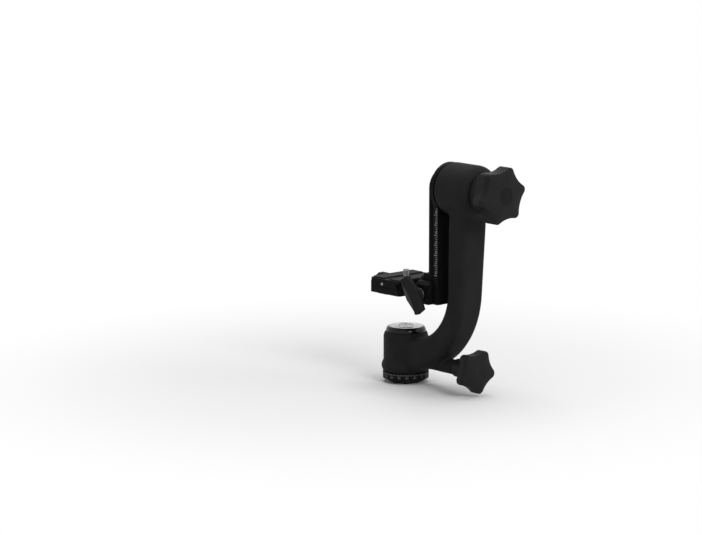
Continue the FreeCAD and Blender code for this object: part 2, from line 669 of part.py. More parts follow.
def buildArm():
    arm = newBody("j_arm")

    # The bent arm is one flat outline with its edges rounded over.
    innerLeave, innerTop = leaningSide(armInnerBendX, armInnerBendHeight, armInnerBendRadius,
                                       armInnerLean)
    outerLeave, outerTop = leaningSide(armOuterBendX, armOuterBendHeight, armOuterBendRadius,
                                       armOuterLean)
    sketch = newSketch(arm, "arm_outline", "XZ_Plane")
    drawOutline(sketch, [
        innerTop, innerLeave, (armInnerBendX, armRootTop, armInnerBendRadius, -1),
        (armRootX, armRootTop), (armRootX, armUnderside), (armOuterBendX, armUnderside),
        (outerLeave[0], outerLeave[1], armOuterBendRadius, 1), outerTop])
    extrude(arm, sketch, "arm_pad", armWidth, both=True)
    half = armWidth.value / 2
    edgeRound = smaller(armEdgeRound, smaller(armBendThickness, armWidth) * armRoundShare)
    roundEdges(arm, "arm_round", edgeRound, lambda edge: onSideFace(edge, half, armRootX.value))

    # The barrel turns about the pan axis, with a rolled rim near its foot.
    sketch = newSketch(arm, "barrel_section", "XZ_Plane")
    rimArc = arcOverStep(rimHalfHeight, rimRadius - barrelRadius)
    drawOutline(sketch, [
        (0, barrelBottom), (barrelRadius, barrelBottom),
        (barrelRadius, rimMiddle - rimHalfHeight),
        (rimRadius, rimMiddle, rimArc, 1), (barrelRadius, rimMiddle + rimHalfHeight, rimArc, 1),
        (barrelRadius, barrelTop - barrelShoulderHeight),
        (barrelRadius - barrelShoulderInset, barrelTop,
         arcOverStep(barrelShoulderHeight, barrelShoulderInset), 1), (0, barrelTop)])
    spin(arm, sketch, "barrel")

    # The tilt hub turns about the tilt axis.
    sketch = newSketch(arm, "hub_section", "XZ_Plane", "y", tiltHeight)
    drawOutline(sketch, [
        (hubInnerFace, 0), (hubOuterFace, 0), (hubOuterFace, hubRadius - hubOuterRound),
        (hubOuterFace - hubOuterRound, hubRadius, hubOuterRound, 1),
        (hubInnerFace + hubInnerRound, hubRadius),
        (hubInnerFace, hubRadius - hubInnerRound, hubInnerRound, 1)])
    spin(arm, sketch, "hub", "H_Axis")

    # The stem boss comes out of the bend, level with the barrel's rim.
    sketch = newSketch(arm, "stem_section", "YZ_Plane")
    drawCircle(sketch, 0, panLockHeight, stemRadius)
    extrude(arm, sketch, "stem", stemEnd)

    # Bores: bearings, spindle nut and cap in the barrel, bearings and shaft in the hub.
    sketch = newSketch(arm, "barrel_bore", "XZ_Plane")
    drawOutline(sketch, [
        (0, barrelBottom - overcut), (bearingOuterRadius, barrelBottom - overcut),
        (bearingOuterRadius, lowerBearingBottom + bearingWidth),
        (barrelWebRadius, lowerBearingBottom + bearingWidth), (barrelWebRadius, upperBearingBottom),
        (bearingOuterRadius, upperBearingBottom), (bearingOuterRadius, upperBearingTop),
        (capSeatRadius, upperBearingTop), (capSeatRadius, barrelTop), (capRadius, barrelTop),
        (capRadius, barrelTop + capClearHeight), (0, barrelTop + capClearHeight)])
    spin(arm, sketch, "barrel_bored", cut=True)
    sketch = newSketch(arm, "hub_bore", "XZ_Plane", "y", tiltHeight)
    drawOutline(sketch, [
        (hubInnerFace - overcut, 0), (hubOuterFace + overcut, 0),
        (hubOuterFace + overcut, bearingOuterRadius),
        (outerBearingX, bearingOuterRadius), (outerBearingX, hubWebRadius),
        (innerBearingX + bearingWidth, hubWebRadius),
        (innerBearingX + bearingWidth, bearingOuterRadius),
        (hubInnerFace - overcut, bearingOuterRadius)])
    spin(arm, sketch, "hub_bored", "H_Axis", cut=True)
    sketch = newSketch(arm, "stem_bore", "XZ_Plane", "y", panLockHeight)
    drawOutline(sketch, [
        (0, 0), (stemEnd + overcut, 0), (stemEnd + overcut, panStudRadius + movingGap),
        (bushStart + bushLength, panStudRadius + movingGap), (bushStart + bushLength, bushRadius),
        (bushStart, bushRadius), (bushStart, shoeRadius + runningFit), (0, shoeRadius + runningFit)])
    spin(arm, sketch, "stem_bored", "H_Axis", cut=True)

    bush = ring("pan_lock_bush", panStudRadius + runningFit, bushRadius, bushLength)
    alongX(bush, bushStart, panLockHeight)

    put(ballBearing("pan_bearing_lower"), 0, 0, lowerBearingBottom)
    put(ballBearing("pan_bearing_upper"), 0, 0, upperBearingBottom)
    alongX(ballBearing("tilt_bearing_inner"), innerBearingX, tiltHeight)
    alongX(ballBearing("tilt_bearing_outer"), outerBearingX, tiltHeight)


def arcOverStep(length, step):
    """Radius of an arc that starts straight and moves aside by a step over a length."""
    return (length * length + step * step) / (step * 2)


def leaningSide(centreX, centreHeight, radius, lean):
    """Where a side of the arm leaves its bend, and where it ends beside the tilt axis."""
    turn = math.radians(lean)
    leaveX = centreX + radius * math.cos(turn)
    leaveHeight = centreHeight - radius * math.sin(turn)
    topX = leaveX + (tiltHeight - leaveHeight) * math.tan(turn)
    return (leaveX, leaveHeight), (topX, tiltHeight)


def onSideFace(edge, half, rootX):
    """Long edges of the arm's two side faces, without the end that sits inside the barrel."""
    if any(abs(abs(vertex.Y) - half) > 0.01 for vertex in edge.Vertexes):
        return False
    if abs(edge.Vertexes[0].Y - edge.Vertexes[-1].Y) > 0.01:
        return False
    middle = edge.valueAt((edge.FirstParameter + edge.LastParameter) / 2)
    return middle.x > rootX + 0.1 and middle.z < tiltHeight.value - 0.1


def buildCap():
    # A polished lid with a skirt in the barrel, hollow over the spindle nut.
    seatFloor = capTop - levelSeatDepth
    hollowTop = seatFloor - capFloorThickness
    turned("hub_cap", [
        (capHollowRadius, upperBearingTop), (capSeatRadius, upperBearingTop),
        (capSeatRadius, barrelTop), (capRadius, barrelTop), (capRadius, capTop - capBevel),
        (capTopRadius, capTop, capBevelRadius, 1), (bezelRadius, capTop), (bezelRadius, seatFloor),
        (0, seatFloor), (0, hollowTop), (capHollowRadius, hollowTop)])
    body = turned("level_bezel", [
        (vialRadius, 0), (bezelRadius, 0), (bezelRadius, levelSeatDepth),
        (bezelRadius - bezelProud, levelSeatDepth + bezelProud),
        (vialRadius + bezelProud * 2, levelSeatDepth + bezelProud), (vialRadius, levelSeatDepth)])
    put(body, 0, 0, seatFloor)
    fluidRadius = vialRadius - vialWall
    body = turned("level_vial", [
        (0, 0), (vialRadius, 0), (vialRadius, levelSeatDepth), (0, levelSeatDepth),
        (0, levelSeatDepth - vialWall), (fluidRadius, levelSeatDepth - vialWall),
        (fluidRadius, vialWall), (0, vialWall)])
    put(body, 0, 0, seatFloor)
    body = turned("level_fluid", [
        (0, vialWall), (fluidRadius, vialWall), (fluidRadius, levelSeatDepth - vialWall),
        (0, levelSeatDepth - vialWall)])
    put(body, 0, 0, seatFloor)


def lobedKnob(label, lobes, firstLobe, outerRadius, valleyRadius, tipRadius, thickness, collar,
              collarRadius, collarBackRadius, boreRadius, boreDepth):
    """A moulded knob. Its back collar starts at Z 0 and its lobes end at collar plus thickness."""
    body = newBody(label)
    sketch = newSketch(body, label + "_lobes", "XY_Plane", "z", collar)
    knobOutline(sketch, lobes, firstLobe, outerRadius, valleyRadius, tipRadius)
    extrude(body, sketch, label + "_pad", thickness)
    back, front = collar.value, (collar + thickness).value
    roundEdges(body, label + "_round", knobEdgeRound, lambda edge: flatAt(edge, back, front))
    sketch = newSketch(body, label + "_collar", "XZ_Plane")
    drawOutline(sketch, [(0, 0), (collarBackRadius, 0), (collarRadius, collar + overcut),
                         (0, collar + overcut)])
    spin(body, sketch, label + "_collared")
    sketch = newSketch(body, label + "_bore", "XY_Plane")
    drawCircle(sketch, 0, 0, boreRadius)
    extrude(body, sketch, label + "_bored", boreDepth, cut=True, back=True)
    sketch = newSketch(body, label + "_dish", "XY_Plane", "z", collar + thickness)
    drawCircle(sketch, 0, 0, knobDishRadius)
    extrude(body, sketch, label + "_dished", knobDishDepth, cut=True)
    return body


def flatAt(edge, *levels):
    """True for an edge that lies flat at one of the given heights."""
    heights = [vertex.Z for vertex in edge.Vertexes]
    middle = edge.valueAt((edge.FirstParameter + edge.LastParameter) / 2)
    heights.append(middle.z)
    return any(all(abs(height - level) < 0.01 for height in heights) for level in levels)


def buildPanLock():
    shoeFront = shaftRadius + movingGap
    shoe = newBody("pan_shoe")
    sketch = newSketch(shoe, "shoe_end", "XY_Plane")
    drawCircle(sketch, 0, 0, shoeRadius)
    extrude(shoe, sketch, "shoe_pad", bushStart - movingGap - shoeFront)
    alongX(shoe, shoeFront, panLockHeight)
    collarBack = stemEnd + panCollarGap
    boreDepth = panKnobBack - collarBack + panKnobBoreDepth
    knob = lobedKnob("pan_knob", panKnobLobes, panKnobTurn, panKnobLobeRadius, panKnobValleyRadius,
                     panKnobTipRadius, panKnobThickness, panKnobBack - collarBack, panCollarRadius,
                     panCollarRadius, panStudRadius, boreDepth)
    alongX(knob, collarBack, panLockHeight)
    stud = turned("pan_knob_stud", [
        (0, 0), (panStudRadius, 0), (panStudRadius, collarBack + boreDepth - bushStart),
        (0, collarBack + boreDepth - bushStart)])
    alongX(stud, bushStart, panLockHeight)


def buildCradle():
    # The rail hangs from the tilt shaft. Both long edges have a dovetail groove.
    rail = newBody("swing_rail")
    grooveStart = railFront + railLip
    grooveFloor = grooveStart + grooveDepth
    grooveEnd = grooveFloor + grooveFlat + grooveRise
    half = [(railFront, -railHalfWidth), (grooveStart, -railHalfWidth),
            (grooveFloor, -grooveBottom), (grooveFloor + grooveFlat, -grooveBottom),
            (grooveEnd, -railHalfWidth), (railBack, -railHalfWidth)]
    other = [(x, -y) for x, y in reversed(half)]
    sketch = newSketch(rail, "rail_section", "XY_Plane", "z", railBottom)
    drawOutline(sketch, half + other)
    extrude(rail, sketch, "rail_bar", tiltHeight - railBottom)
    sketch = newSketch(rail, "rail_top", "YZ_Plane", "z", railFront)
    drawCircle(sketch, 0, tiltHeight, railHalfWidth)
    extrude(rail, sketch, "rail_top_round", railBack - railFront)
    sketch = newSketch(rail, "head_disc", "YZ_Plane", "z", railBack)
    drawCircle(sketch, 0, tiltHeight, headDiscRadius)
    extrude(rail, sketch, "head_disc_pad", headDiscThickness, back=True)
    sketch = newSketch(rail, "shaft_seat", "XZ_Plane", "y", tiltHeight)
    drawOutline(sketch, [
        (railFront - overcut, 0), (railBack + overcut, 0), (railBack + overcut, shaftRadius),
        (shaftFlangeBack, shaftRadius), (shaftFlangeBack, shaftFlangeRadius),
        (railFront - overcut, shaftFlangeRadius)])
    spin(rail, sketch, "shaft_seated", "H_Axis", cut=True)
    sketch = newSketch(rail, "stop_holes", "XY_Plane", "z", railBottom)
    for x, y, z in railStopPlaces():
        drawCircle(sketch, x, y, stopScrewRadius)
    extrude(rail, sketch, "stop_bored", stopScrewLength, cut=True, back=True)
    sketch = newSketch(rail, "shaft_screw_holes", "YZ_Plane", "z", shaftFlangeBack)
    for x, y, z in shaftScrewPlaces():
        drawCircle(sketch, y, z, shaftScrewRadius)
    extrude(rail, sketch, "shaft_screw_bored", shaftScrewLength - shaftFlangeThickness,
            cut=True, back=True)

    # The shaft: a flange in the rail, the bearing length and the threaded end for the knob.
    flangeFront = shaftFlangeBack - shaftFlangeThickness
    shaftEnd = tiltCollarBack + knobInsertLength - shaftEndRecess - flangeFront
    shaft = turned("tilt_shaft", [
        (0, 0), (shaftFlangeRadius, 0), (shaftFlangeRadius, shaftFlangeThickness),
        (shaftRadius, shaftFlangeThickness), (shaftRadius, hubOuterFace - flangeFront),
        (shaftThreadRadius, hubOuterFace - flangeFront),
        (shaftThreadRadius, shaftEnd), (0, shaftEnd)])
    sketch = newSketch(shaft, "flange_holes", "XY_Plane")
    for x, y, z in shaftScrewPlaces():
        drawCircle(sketch, -(z - tiltHeight), y, shaftScrewRadius)
    extrude(shaft, sketch, "flange_bored", shaftFlangeThickness, cut=True, back=True)
    alongX(shaft, flangeFront, tiltHeight)
    screws("shaft_screws", shaftScrewPlaces(), (0, 1, 0), -90, shaftScrewHeadRadius,
           shaftScrewHeadHeight, shaftScrewRadius, shaftScrewLength)
    screws("rail_stop_screws", railStopPlaces(), (1, 0, 0), 180, stopHeadRadius, stopHeadHeight,
           stopScrewRadius, stopScrewLength)


def shaftScrewPlaces():
    places = []
    for step in range(4):
        turn = math.radians(45 + 90 * step)
        places.append((shaftFlangeBack - shaftFlangeThickness, shaftScrewCircle * math.cos(turn),
                       tiltHeight + shaftScrewCircle * math.sin(turn)))
    return places


def railStopPlaces():
    x = railFront + stopInset
    return [(x, stopSpacing / 2, railBottom), (x, -stopSpacing / 2, railBottom)]


def buildTiltLock():
    washer = ring("tilt_friction_washer", shaftThreadRadius + movingGap, frictionWasherRadius,
                  frictionWasherThickness)
    alongX(washer, frictionWasherBack, tiltHeight)
    back = tiltCollarBack + movingGap
    insertRadiusOuter = shaftThreadRadius + knobInsertWall
    knob = lobedKnob("tilt_knob", tiltKnobLobes, tiltKnobTurn, tiltKnobLobeRadius,
                     tiltKnobValleyRadius, tiltKnobTipRadius, tiltKnobThickness,
                     tiltKnobBack - back, tiltCollarRadius, tiltCollarBackRadius,
                     insertRadiusOuter, knobInsertLength)
    alongX(knob, back, tiltHeight)
    insert = ring("tilt_knob_insert", shaftThreadRadius + runningFit, insertRadiusOuter,
                  knobInsertLength)
    alongX(insert, back, tiltHeight)


def jawLip(side):
    """Outline of a dovetail lip, from the bracket face round to the jaw's outer side."""
    reach = grooveDepth - lipGap
    wall = railHalfWidth + movingGap
    tip = grooveBottom + movingGap
    start = railFront + railLip + lipGap
    return [(bracketFace, side * wall), (start, side * wall), (start + (wall - tip), side * tip),
            (start + (wall - tip) + jawLipThickness, side * tip),
            (start + reach + jawLipThickness + grooveRise, side * wall),
            (start + reach + jawLipThickness + grooveRise, side * bracketReach)]


def buildPlatform():
    # The bracket rides on the rail's front, with the fixed jaw on its +Y side.
    bracket = newBody("platform_bracket")
    sketch = newSketch(bracket, "bracket_section", "XY_Plane", "z", railBottom)
    outline = [(bracketBack, bracketReach), (bracketBack, -jawSplit), (bracketFace, -jawSplit)]
    drawOutline(sketch, outline + jawLip(1))
    extrude(bracket, sketch, "bracket_pad", bracketHeight)
    roundEdges(bracket, "bracket_corners", bracketChamfer,
               lambda edge: isUpright(edge) and edge.Vertexes[0].Y > bracketReach.value - 0.01,
               chamfer=True)
    sketch = newSketch(bracket, "bracket_stud_hole", "XZ_Plane")
    drawCircle(sketch, wingScrewX, wingScrewHeight, wingStudRadius + runningFit)
    extrude(bracket, sketch, "bracket_stud_bored", jawSplit + overcut, cut=True, back=True)
    cutBothWays(bracket, "bracket_pin", guidePinRadius, guidePinPlaces(),
                jawSplit, guidePinLength / 2)
    holes = newSketch(bracket, "bracket_screw_holes", "YZ_Plane", "z", bracketFace)
    seats = newSketch(bracket, "bracket_screw_seats", "YZ_Plane", "z", bracketFace)
    for x, y, z in bracketScrewPlaces():
        drawCircle(holes, y, z, spindleScrewRadius)
        drawCircle(seats, y, z, spindleScrewHeadRadius)
    extrude(bracket, holes, "bracket_holes_cut", bracketFace - bracketBack + overcut, cut=True)
    extrude(bracket, seats, "bracket_seats_cut", spindleScrewHeadHeight, cut=True)

    # The moving jaw mirrors the fixed one and is pulled in by the wing screw.
    jaw = newBody("rail_jaw")
    sketch = newSketch(jaw, "jaw_section", "XY_Plane", "z", railBottom)
    split = jawSplit + movingGap
    drawOutline(sketch, [(bracketBack, -bracketReach), (bracketBack, -split), (bracketFace, -split)]
                + jawLip(-1))
    extrude(jaw, sketch, "jaw_pad", jawHeight)
    jawTop = (railBottom + jawHeight).value
    roundEdges(jaw, "jaw_top", jawTopChamfer,
               lambda edge: flatAt(edge, jawTop) and outerSide(edge, -bracketReach.value),
               chamfer=True)
    sketch = newSketch(jaw, "jaw_stud_hole", "XZ_Plane")
    drawCircle(sketch, wingScrewX, wingScrewHeight, wingStudRadius + runningFit)
    extrude(jaw, sketch, "jaw_stud_bored", bracketReach + overcut, cut=True, back=True)
    sketch = newSketch(jaw, "jaw_pin_holes", "XZ_Plane")
    for x, z in guidePinPlaces():
        drawCircle(sketch, x, z, guidePinRadius + runningFit)
    extrude(jaw, sketch, "jaw_pins_bored", bracketReach + overcut, cut=True, back=True)
    pins = [cylinder("guide_pin_%d" % i, guidePinRadius, guidePinLength, x,
                     guidePinLength / 2 - jawSplit, z, (1, 0, 0), 90)
            for i, (x, z) in enumerate(guidePinPlaces())]
    group("guide_pins", pins)

    # The clamp base: a floor with the fixed jaw, and a neck and flange bolted to the bracket.
    base = newBody("clamp_base")
    sketch = newSketch(base, "clamp_floor", "XY_Plane", "z", clampBottom)
    drawOutline(sketch, [
        (-clampJawSplit, -clampHalfLength), (clampHalfWidth - clampCorner, -clampHalfLength),
        (clampHalfWidth, -(clampHalfLength - clampCorner)), (clampHalfWidth, -clampNeckHalfWidth),
        (bracketBack, -clampNeckHalfWidth), (bracketBack, clampNeckHalfWidth),
        (clampHalfWidth, clampNeckHalfWidth), (clampHalfWidth, clampHalfLength - clampCorner),
        (clampHalfWidth - clampCorner, clampHalfLength), (-clampJawSplit, clampHalfLength)])
    extrude(base, sketch, "clamp_floor_pad", clampFloorTop - clampBottom)
    sketch = newSketch(base, "fixed_jaw_section", "XZ_Plane")
    drawOutline(sketch, jawSection(1))
    extrude(base, sketch, "fixed_jaw", (clampHalfLength - clampCorner) * 2, both=True)
    sketch = newSketch(base, "flange_outline", "YZ_Plane", "z", bracketBack - clampFlangeThickness)
    drawOutline(sketch, [
        (-clampNeckHalfWidth, clampBottom), (clampNeckHalfWidth, clampBottom),
        (clampNeckHalfWidth, clampFlangeTop - clampFlangeThickness),
        (clampNeckHalfWidth - clampFlangeThickness, clampFlangeTop),
        (clampFlangeThickness - clampNeckHalfWidth, clampFlangeTop),
        (-clampNeckHalfWidth, clampFlangeTop - clampFlangeThickness)])
    extrude(base, sketch, "flange", clampFlangeThickness)
    sketch = newSketch(base, "gusset_outline", "XZ_Plane")
    drawOutline(sketch, [
        (clampHalfWidth + movingGap, clampFloorTop), (bracketBack, clampFloorTop),
        (bracketBack, clampFloorTop + gussetHeight),
        (bracketBack - clampFlangeThickness, clampFloorTop + gussetHeight)])
    extrude(base, sketch, "gusset", clampNeckHalfWidth * 2, both=True)
    sketch = newSketch(base, "stop_slot", "XY_Plane", "z", clampFloorTop)
    drawOutline(sketch, [
        (-stopSlotHalfWidth, -stopSlotHalfLength), (stopSlotHalfWidth, -stopSlotHalfLength),
        (stopSlotHalfWidth, stopSlotHalfLength), (-stopSlotHalfWidth, stopSlotHalfLength)])
    extrude(base, sketch, "stop_slot_cut", stopSlotDepth, cut=True)
    sketch = newSketch(base, "clamp_stud_hole", "YZ_Plane", "z", -clampJawSplit)
    drawCircle(sketch, 0, clampStudHeight, clampStudRadius + runningFit)
    extrude(base, sketch, "clamp_stud_bored", clampStudReach() + movingGap, cut=True, back=True)
    sketch = newSketch(base, "clamp_pin_holes", "YZ_Plane", "z", -clampJawSplit)
    for y in (clampPinSpacing / 2, -clampPinSpacing / 2):
        drawCircle(sketch, y, clampStudHeight, guidePinRadius)
    extrude(base, sketch, "clamp_pins_bored", clampPinLength / 2, cut=True, back=True)
    sketch = newSketch(base, "flange_screw_holes", "YZ_Plane", "z", bracketBack)
    for x, y, z in bracketScrewPlaces():
        drawCircle(sketch, y, z, spindleScrewRadius)
    extrude(base, sketch, "flange_screws_bored", clampFlangeThickness, cut=True)
    screws("bracket_screws", bracketScrewPlaces(), (0, 1, 0), 90, spindleScrewHeadRadius,
           spindleScrewHeadHeight, spindleScrewRadius,
           bracketFace - spindleScrewHeadHeight - bracketBack + clampFlangeThickness)
    pins = [cylinder("clamp_pin_%d" % i, guidePinRadius, clampPinLength,
                     -clampJawSplit - clampPinLength / 2, y, clampStudHeight, (0, 1, 0), 90)
            for i, y in enumerate((clampPinSpacing / 2, -clampPinSpacing / 2))]
    group("clamp_pins", pins)


def clampStudReach():
    """How far the clamp stud goes into the base."""
    return clampJawSplit - stopSlotHalfWidth - clampStudEndWall


def guidePinPlaces():
    return [(wingScrewX, railBottom + guidePinInset),
            (wingScrewX, railBottom + jawHeight - upperPinInset)]


def bracketScrewPlaces():
    x = bracketFace - spindleScrewHeadHeight
    side = clampNeckHalfWidth - flangeScrewInset
    high = clampFlangeTop - clampFlangeThickness
    low = wingScrewHeight + wingStudRadius + spindleScrewHeadRadius
    return [(x, side, high), (x, -side, high), (x, 0, low)]


def cutBothWays(body, name, radius, places, start, depth):
    """Blind holes along +Y, from the face at Y = -start."""
    sketch = newSketch(body, name + "_holes", "XZ_Plane", "z", start)
    for x, z in places:
        drawCircle(sketch, x, z, radius)
    extrude(body, sketch, name + "_bored", depth, cut=True)


def group(label, pieces):
    compound = doc.addObject("Part::Compound", label)
    compound.Label = label
    compound.Links = pieces
    nodes[label] = compound


def isUpright(edge):
    if len(edge.Vertexes) < 2:
        return False
    first, last = edge.Vertexes[0], edge.Vertexes[1]
    return abs(first.X - last.X) < 0.01 and abs(first.Y - last.Y) < 0.01


def outerSide(edge, y):
    return all(abs(vertex.Y - y) < 0.01 for vertex in edge.Vertexes)


def jawSection(side):
    """A clamp jaw in section: a wall that leans in over the plate's lip."""
    inner = plateHalfWidth + movingGap
    tip = inner - plateTaper
    lipTop = plateBottom + plateLip
    top = lipTop + plateTaper + plateNeck - movingGap
    root = clampFloorTop - jawRootOverlap
    return [(side * inner, root), (side * clampHalfWidth, root),
            (side * clampHalfWidth, top), (side * tip, top),
            (side * tip, lipTop + plateTaper), (side * inner, lipTop)]


def buildQuickRelease():
    # The moving clamp jaw, guided by two pins and pulled in by the clamp stud.
    jaw = newBody("clamp_jaw")
    inner = plateHalfWidth + movingGap
    tip = inner - plateTaper
    lipTop = plateBottom + plateLip
    top = lipTop + plateTaper + plateNeck - movingGap
    split = clampJawSplit + movingGap
    sketch = newSketch(jaw, "clamp_jaw_section", "XZ_Plane")
    drawOutline(sketch, [
        (-clampHalfWidth, clampBottom), (-split, clampBottom), (-split, clampFloorTop),
        (-inner, clampFloorTop), (-inner, lipTop), (-tip, lipTop + plateTaper), (-tip, top),
        (-clampHalfWidth, top)])
    extrude(jaw, sketch, "clamp_jaw_pad", clampHalfLength * 2, both=True)
    roundEdges(jaw, "clamp_jaw_corners", clampCorner,
               lambda edge: isUpright(edge) and edge.Vertexes[0].X < 0.01 - clampHalfWidth.value,
               chamfer=True)
    sketch = newSketch(jaw, "clamp_jaw_holes", "YZ_Plane", "z", -clampHalfWidth)
    drawCircle(sketch, 0, clampStudHeight, clampStudRadius + runningFit)
    for y in (clampPinSpacing / 2, -clampPinSpacing / 2):
        drawCircle(sketch, y, clampStudHeight, guidePinRadius + runningFit)
    extrude(jaw, sketch, "clamp_jaw_bored", clampHalfWidth, cut=True, back=True)

    # The clamp knob is knurled in life, here a turned knob on its stud.
    neckStart = -clampHalfWidth - movingGap
    knobEnd = clampKnobNeckLength + clampKnobLength
    knob = turned("clamp_knob", [
        (clampStudRadius, 0), (clampKnobNeckRadius, 0),
        (clampKnobNeckRadius, clampKnobNeckLength),
        (clampKnobRadius - clampKnobBackChamfer, clampKnobNeckLength),
        (clampKnobRadius, clampKnobNeckLength + clampKnobBackChamfer),
        (clampKnobRadius, knobEnd - clampKnobFrontChamfer),
        (clampKnobRadius - clampKnobFrontChamfer, knobEnd), (clampStudRadius, knobEnd)])
    sketch = newSketch(knob, "clamp_knob_scallops", "XY_Plane", "z", clampKnobNeckLength)
    drawCircle(sketch, clampKnobRadius + scallopOffset, 0, scallopRadius)
    cut = extrude(knob, sketch, "scallop_cut", clampKnobLength + overcut, cut=True, back=True)
    pattern = knob.newObject("PartDesign::PolarPattern", "scallop_pattern")
    pattern.Originals = [cut]
    pattern.Axis = (sketch, ["N_Axis"])
    pattern.Angle = 360
    pattern.Occurrences = scallopCount
    knob.Tip = pattern
    put(knob, neckStart, 0, clampStudHeight, (0, 1, 0), -90)
    studLength = clampStudReach() + clampHalfWidth - clampJawSplit + movingGap + knobEnd
    stud = turned("clamp_stud", [(0, 0), (clampStudRadius, 0), (clampStudRadius, studLength),
                                 (0, studLength)])
    put(stud, neckStart - knobEnd, 0, clampStudHeight, (0, 1, 0), 90)

    # The quick plate: a dovetail bar with a flange on top.
    plate = newBody("quick_plate")
    neckHalf = plateHalfWidth - plateTaper
    levels = [(plateHalfWidth, plateBottom), (plateHalfWidth, lipTop),
              (neckHalf, lipTop + plateTaper), (neckHalf, plateTop - plateFlange),
              (plateFlangeHalfWidth, plateTop - plateFlange), (plateFlangeHalfWidth, plateTop)]
    other = [(-x, z) for x, z in reversed(levels)]
    sketch = newSketch(plate, "plate_section", "XZ_Plane")
    drawOutline(sketch, levels + other)
    extrude(plate, sketch, "plate_pad_out", plateHalfLength * 2, both=True)
    roundEdges(plate, "plate_corners", clampCorner,
               lambda edge: isUpright(edge) and
               abs(edge.Vertexes[0].X) > plateFlangeHalfWidth.value - 0.01, chamfer=True)
    sketch = newSketch(plate, "camera_screw_seat", "XZ_Plane")
    seatTop = plateBottom + cameraScrewHeadHeight + movingGap * 2
    drawOutline(sketch, [
        (0, plateBottom - overcut), (cameraScrewHeadRadius + movingGap, plateBottom - overcut),
        (cameraScrewHeadRadius + movingGap, seatTop),
        (cameraScrewRadius + runningFit, seatTop),
        (cameraScrewRadius + runningFit, plateTop + overcut), (0, plateTop + overcut)])
    spin(plate, sketch, "camera_screw_seated", cut=True)
    sketch = newSketch(plate, "plate_stop_holes", "XY_Plane", "z", plateBottom)
    for y in (plateStopSpacing / 2, -plateStopSpacing / 2):
        drawCircle(sketch, 0, y, plateStopShankRadius)
    extrude(plate, sketch, "plate_stops_bored", plateStopLength, cut=True, back=True)
    sketch = newSketch(plate, "end_screw_hole", "XZ_Plane", "z", plateHalfLength)
    drawCircle(sketch, endScrewX, plateBottom + endScrewRise, endScrewRadius)
    extrude(plate, sketch, "end_screw_bored", endScrewDepth, cut=True)
    endScrewEnd = endScrewDepth - endScrewRecess
    screw = turned("plate_end_screw", [
        (0, 0), (endScrewRadius, 0), (endScrewRadius, endScrewEnd - screwChamfer),
        (endScrewRadius - screwChamfer, endScrewEnd), (0, endScrewEnd)])
    put(screw, endScrewX, endScrewDepth - plateHalfLength, plateBottom + endScrewRise, (1, 0, 0), 90)
    stops = [(0, plateStopSpacing / 2, plateBottom), (0, -plateStopSpacing / 2, plateBottom)]
    screws("plate_stop_screws", stops, (1, 0, 0), 180, plateStopRadius, plateStopDrop,
           plateStopShankRadius, plateStopLength)

    # Two rubber strips stop the foot from turning on the plate.
    strips = []
    for number, side in enumerate((1, -1)):
        strip = doc.addObject("Part::Box", "pad_strip_%d" % number)
        bind(strip, "Length", padStripHalfWidth * 2)
        bind(strip, "Width", (plateHalfLength - padInset) * 2)
        bind(strip, "Height", padThickness)
        put(strip, side * (plateFlangeHalfWidth - padInset / 2 - padStripHalfWidth)
            - padStripHalfWidth, padInset - plateHalfLength, plateTop)
        strips.append(strip)
    group("plate_pad", strips)

    # The captive camera screw: its neck is thinner than its thread, which starts above the plate.
    headTop = plateBottom + movingGap + cameraScrewHeadHeight
    screwTop = padTop + cameraScrewProud
    turned("camera_screw", [
        (0, plateBottom + movingGap), (cameraScrewHeadRadius, plateBottom + movingGap),
        (cameraScrewHeadRadius, headTop), (cameraNeckRadius, headTop),
        (cameraNeckRadius, plateTop + movingGap), (cameraScrewRadius, plateTop + movingGap),
        (cameraScrewRadius, screwTop - screwChamfer), (cameraScrewRadius - screwChamfer, screwTop),
        (0, screwTop)])


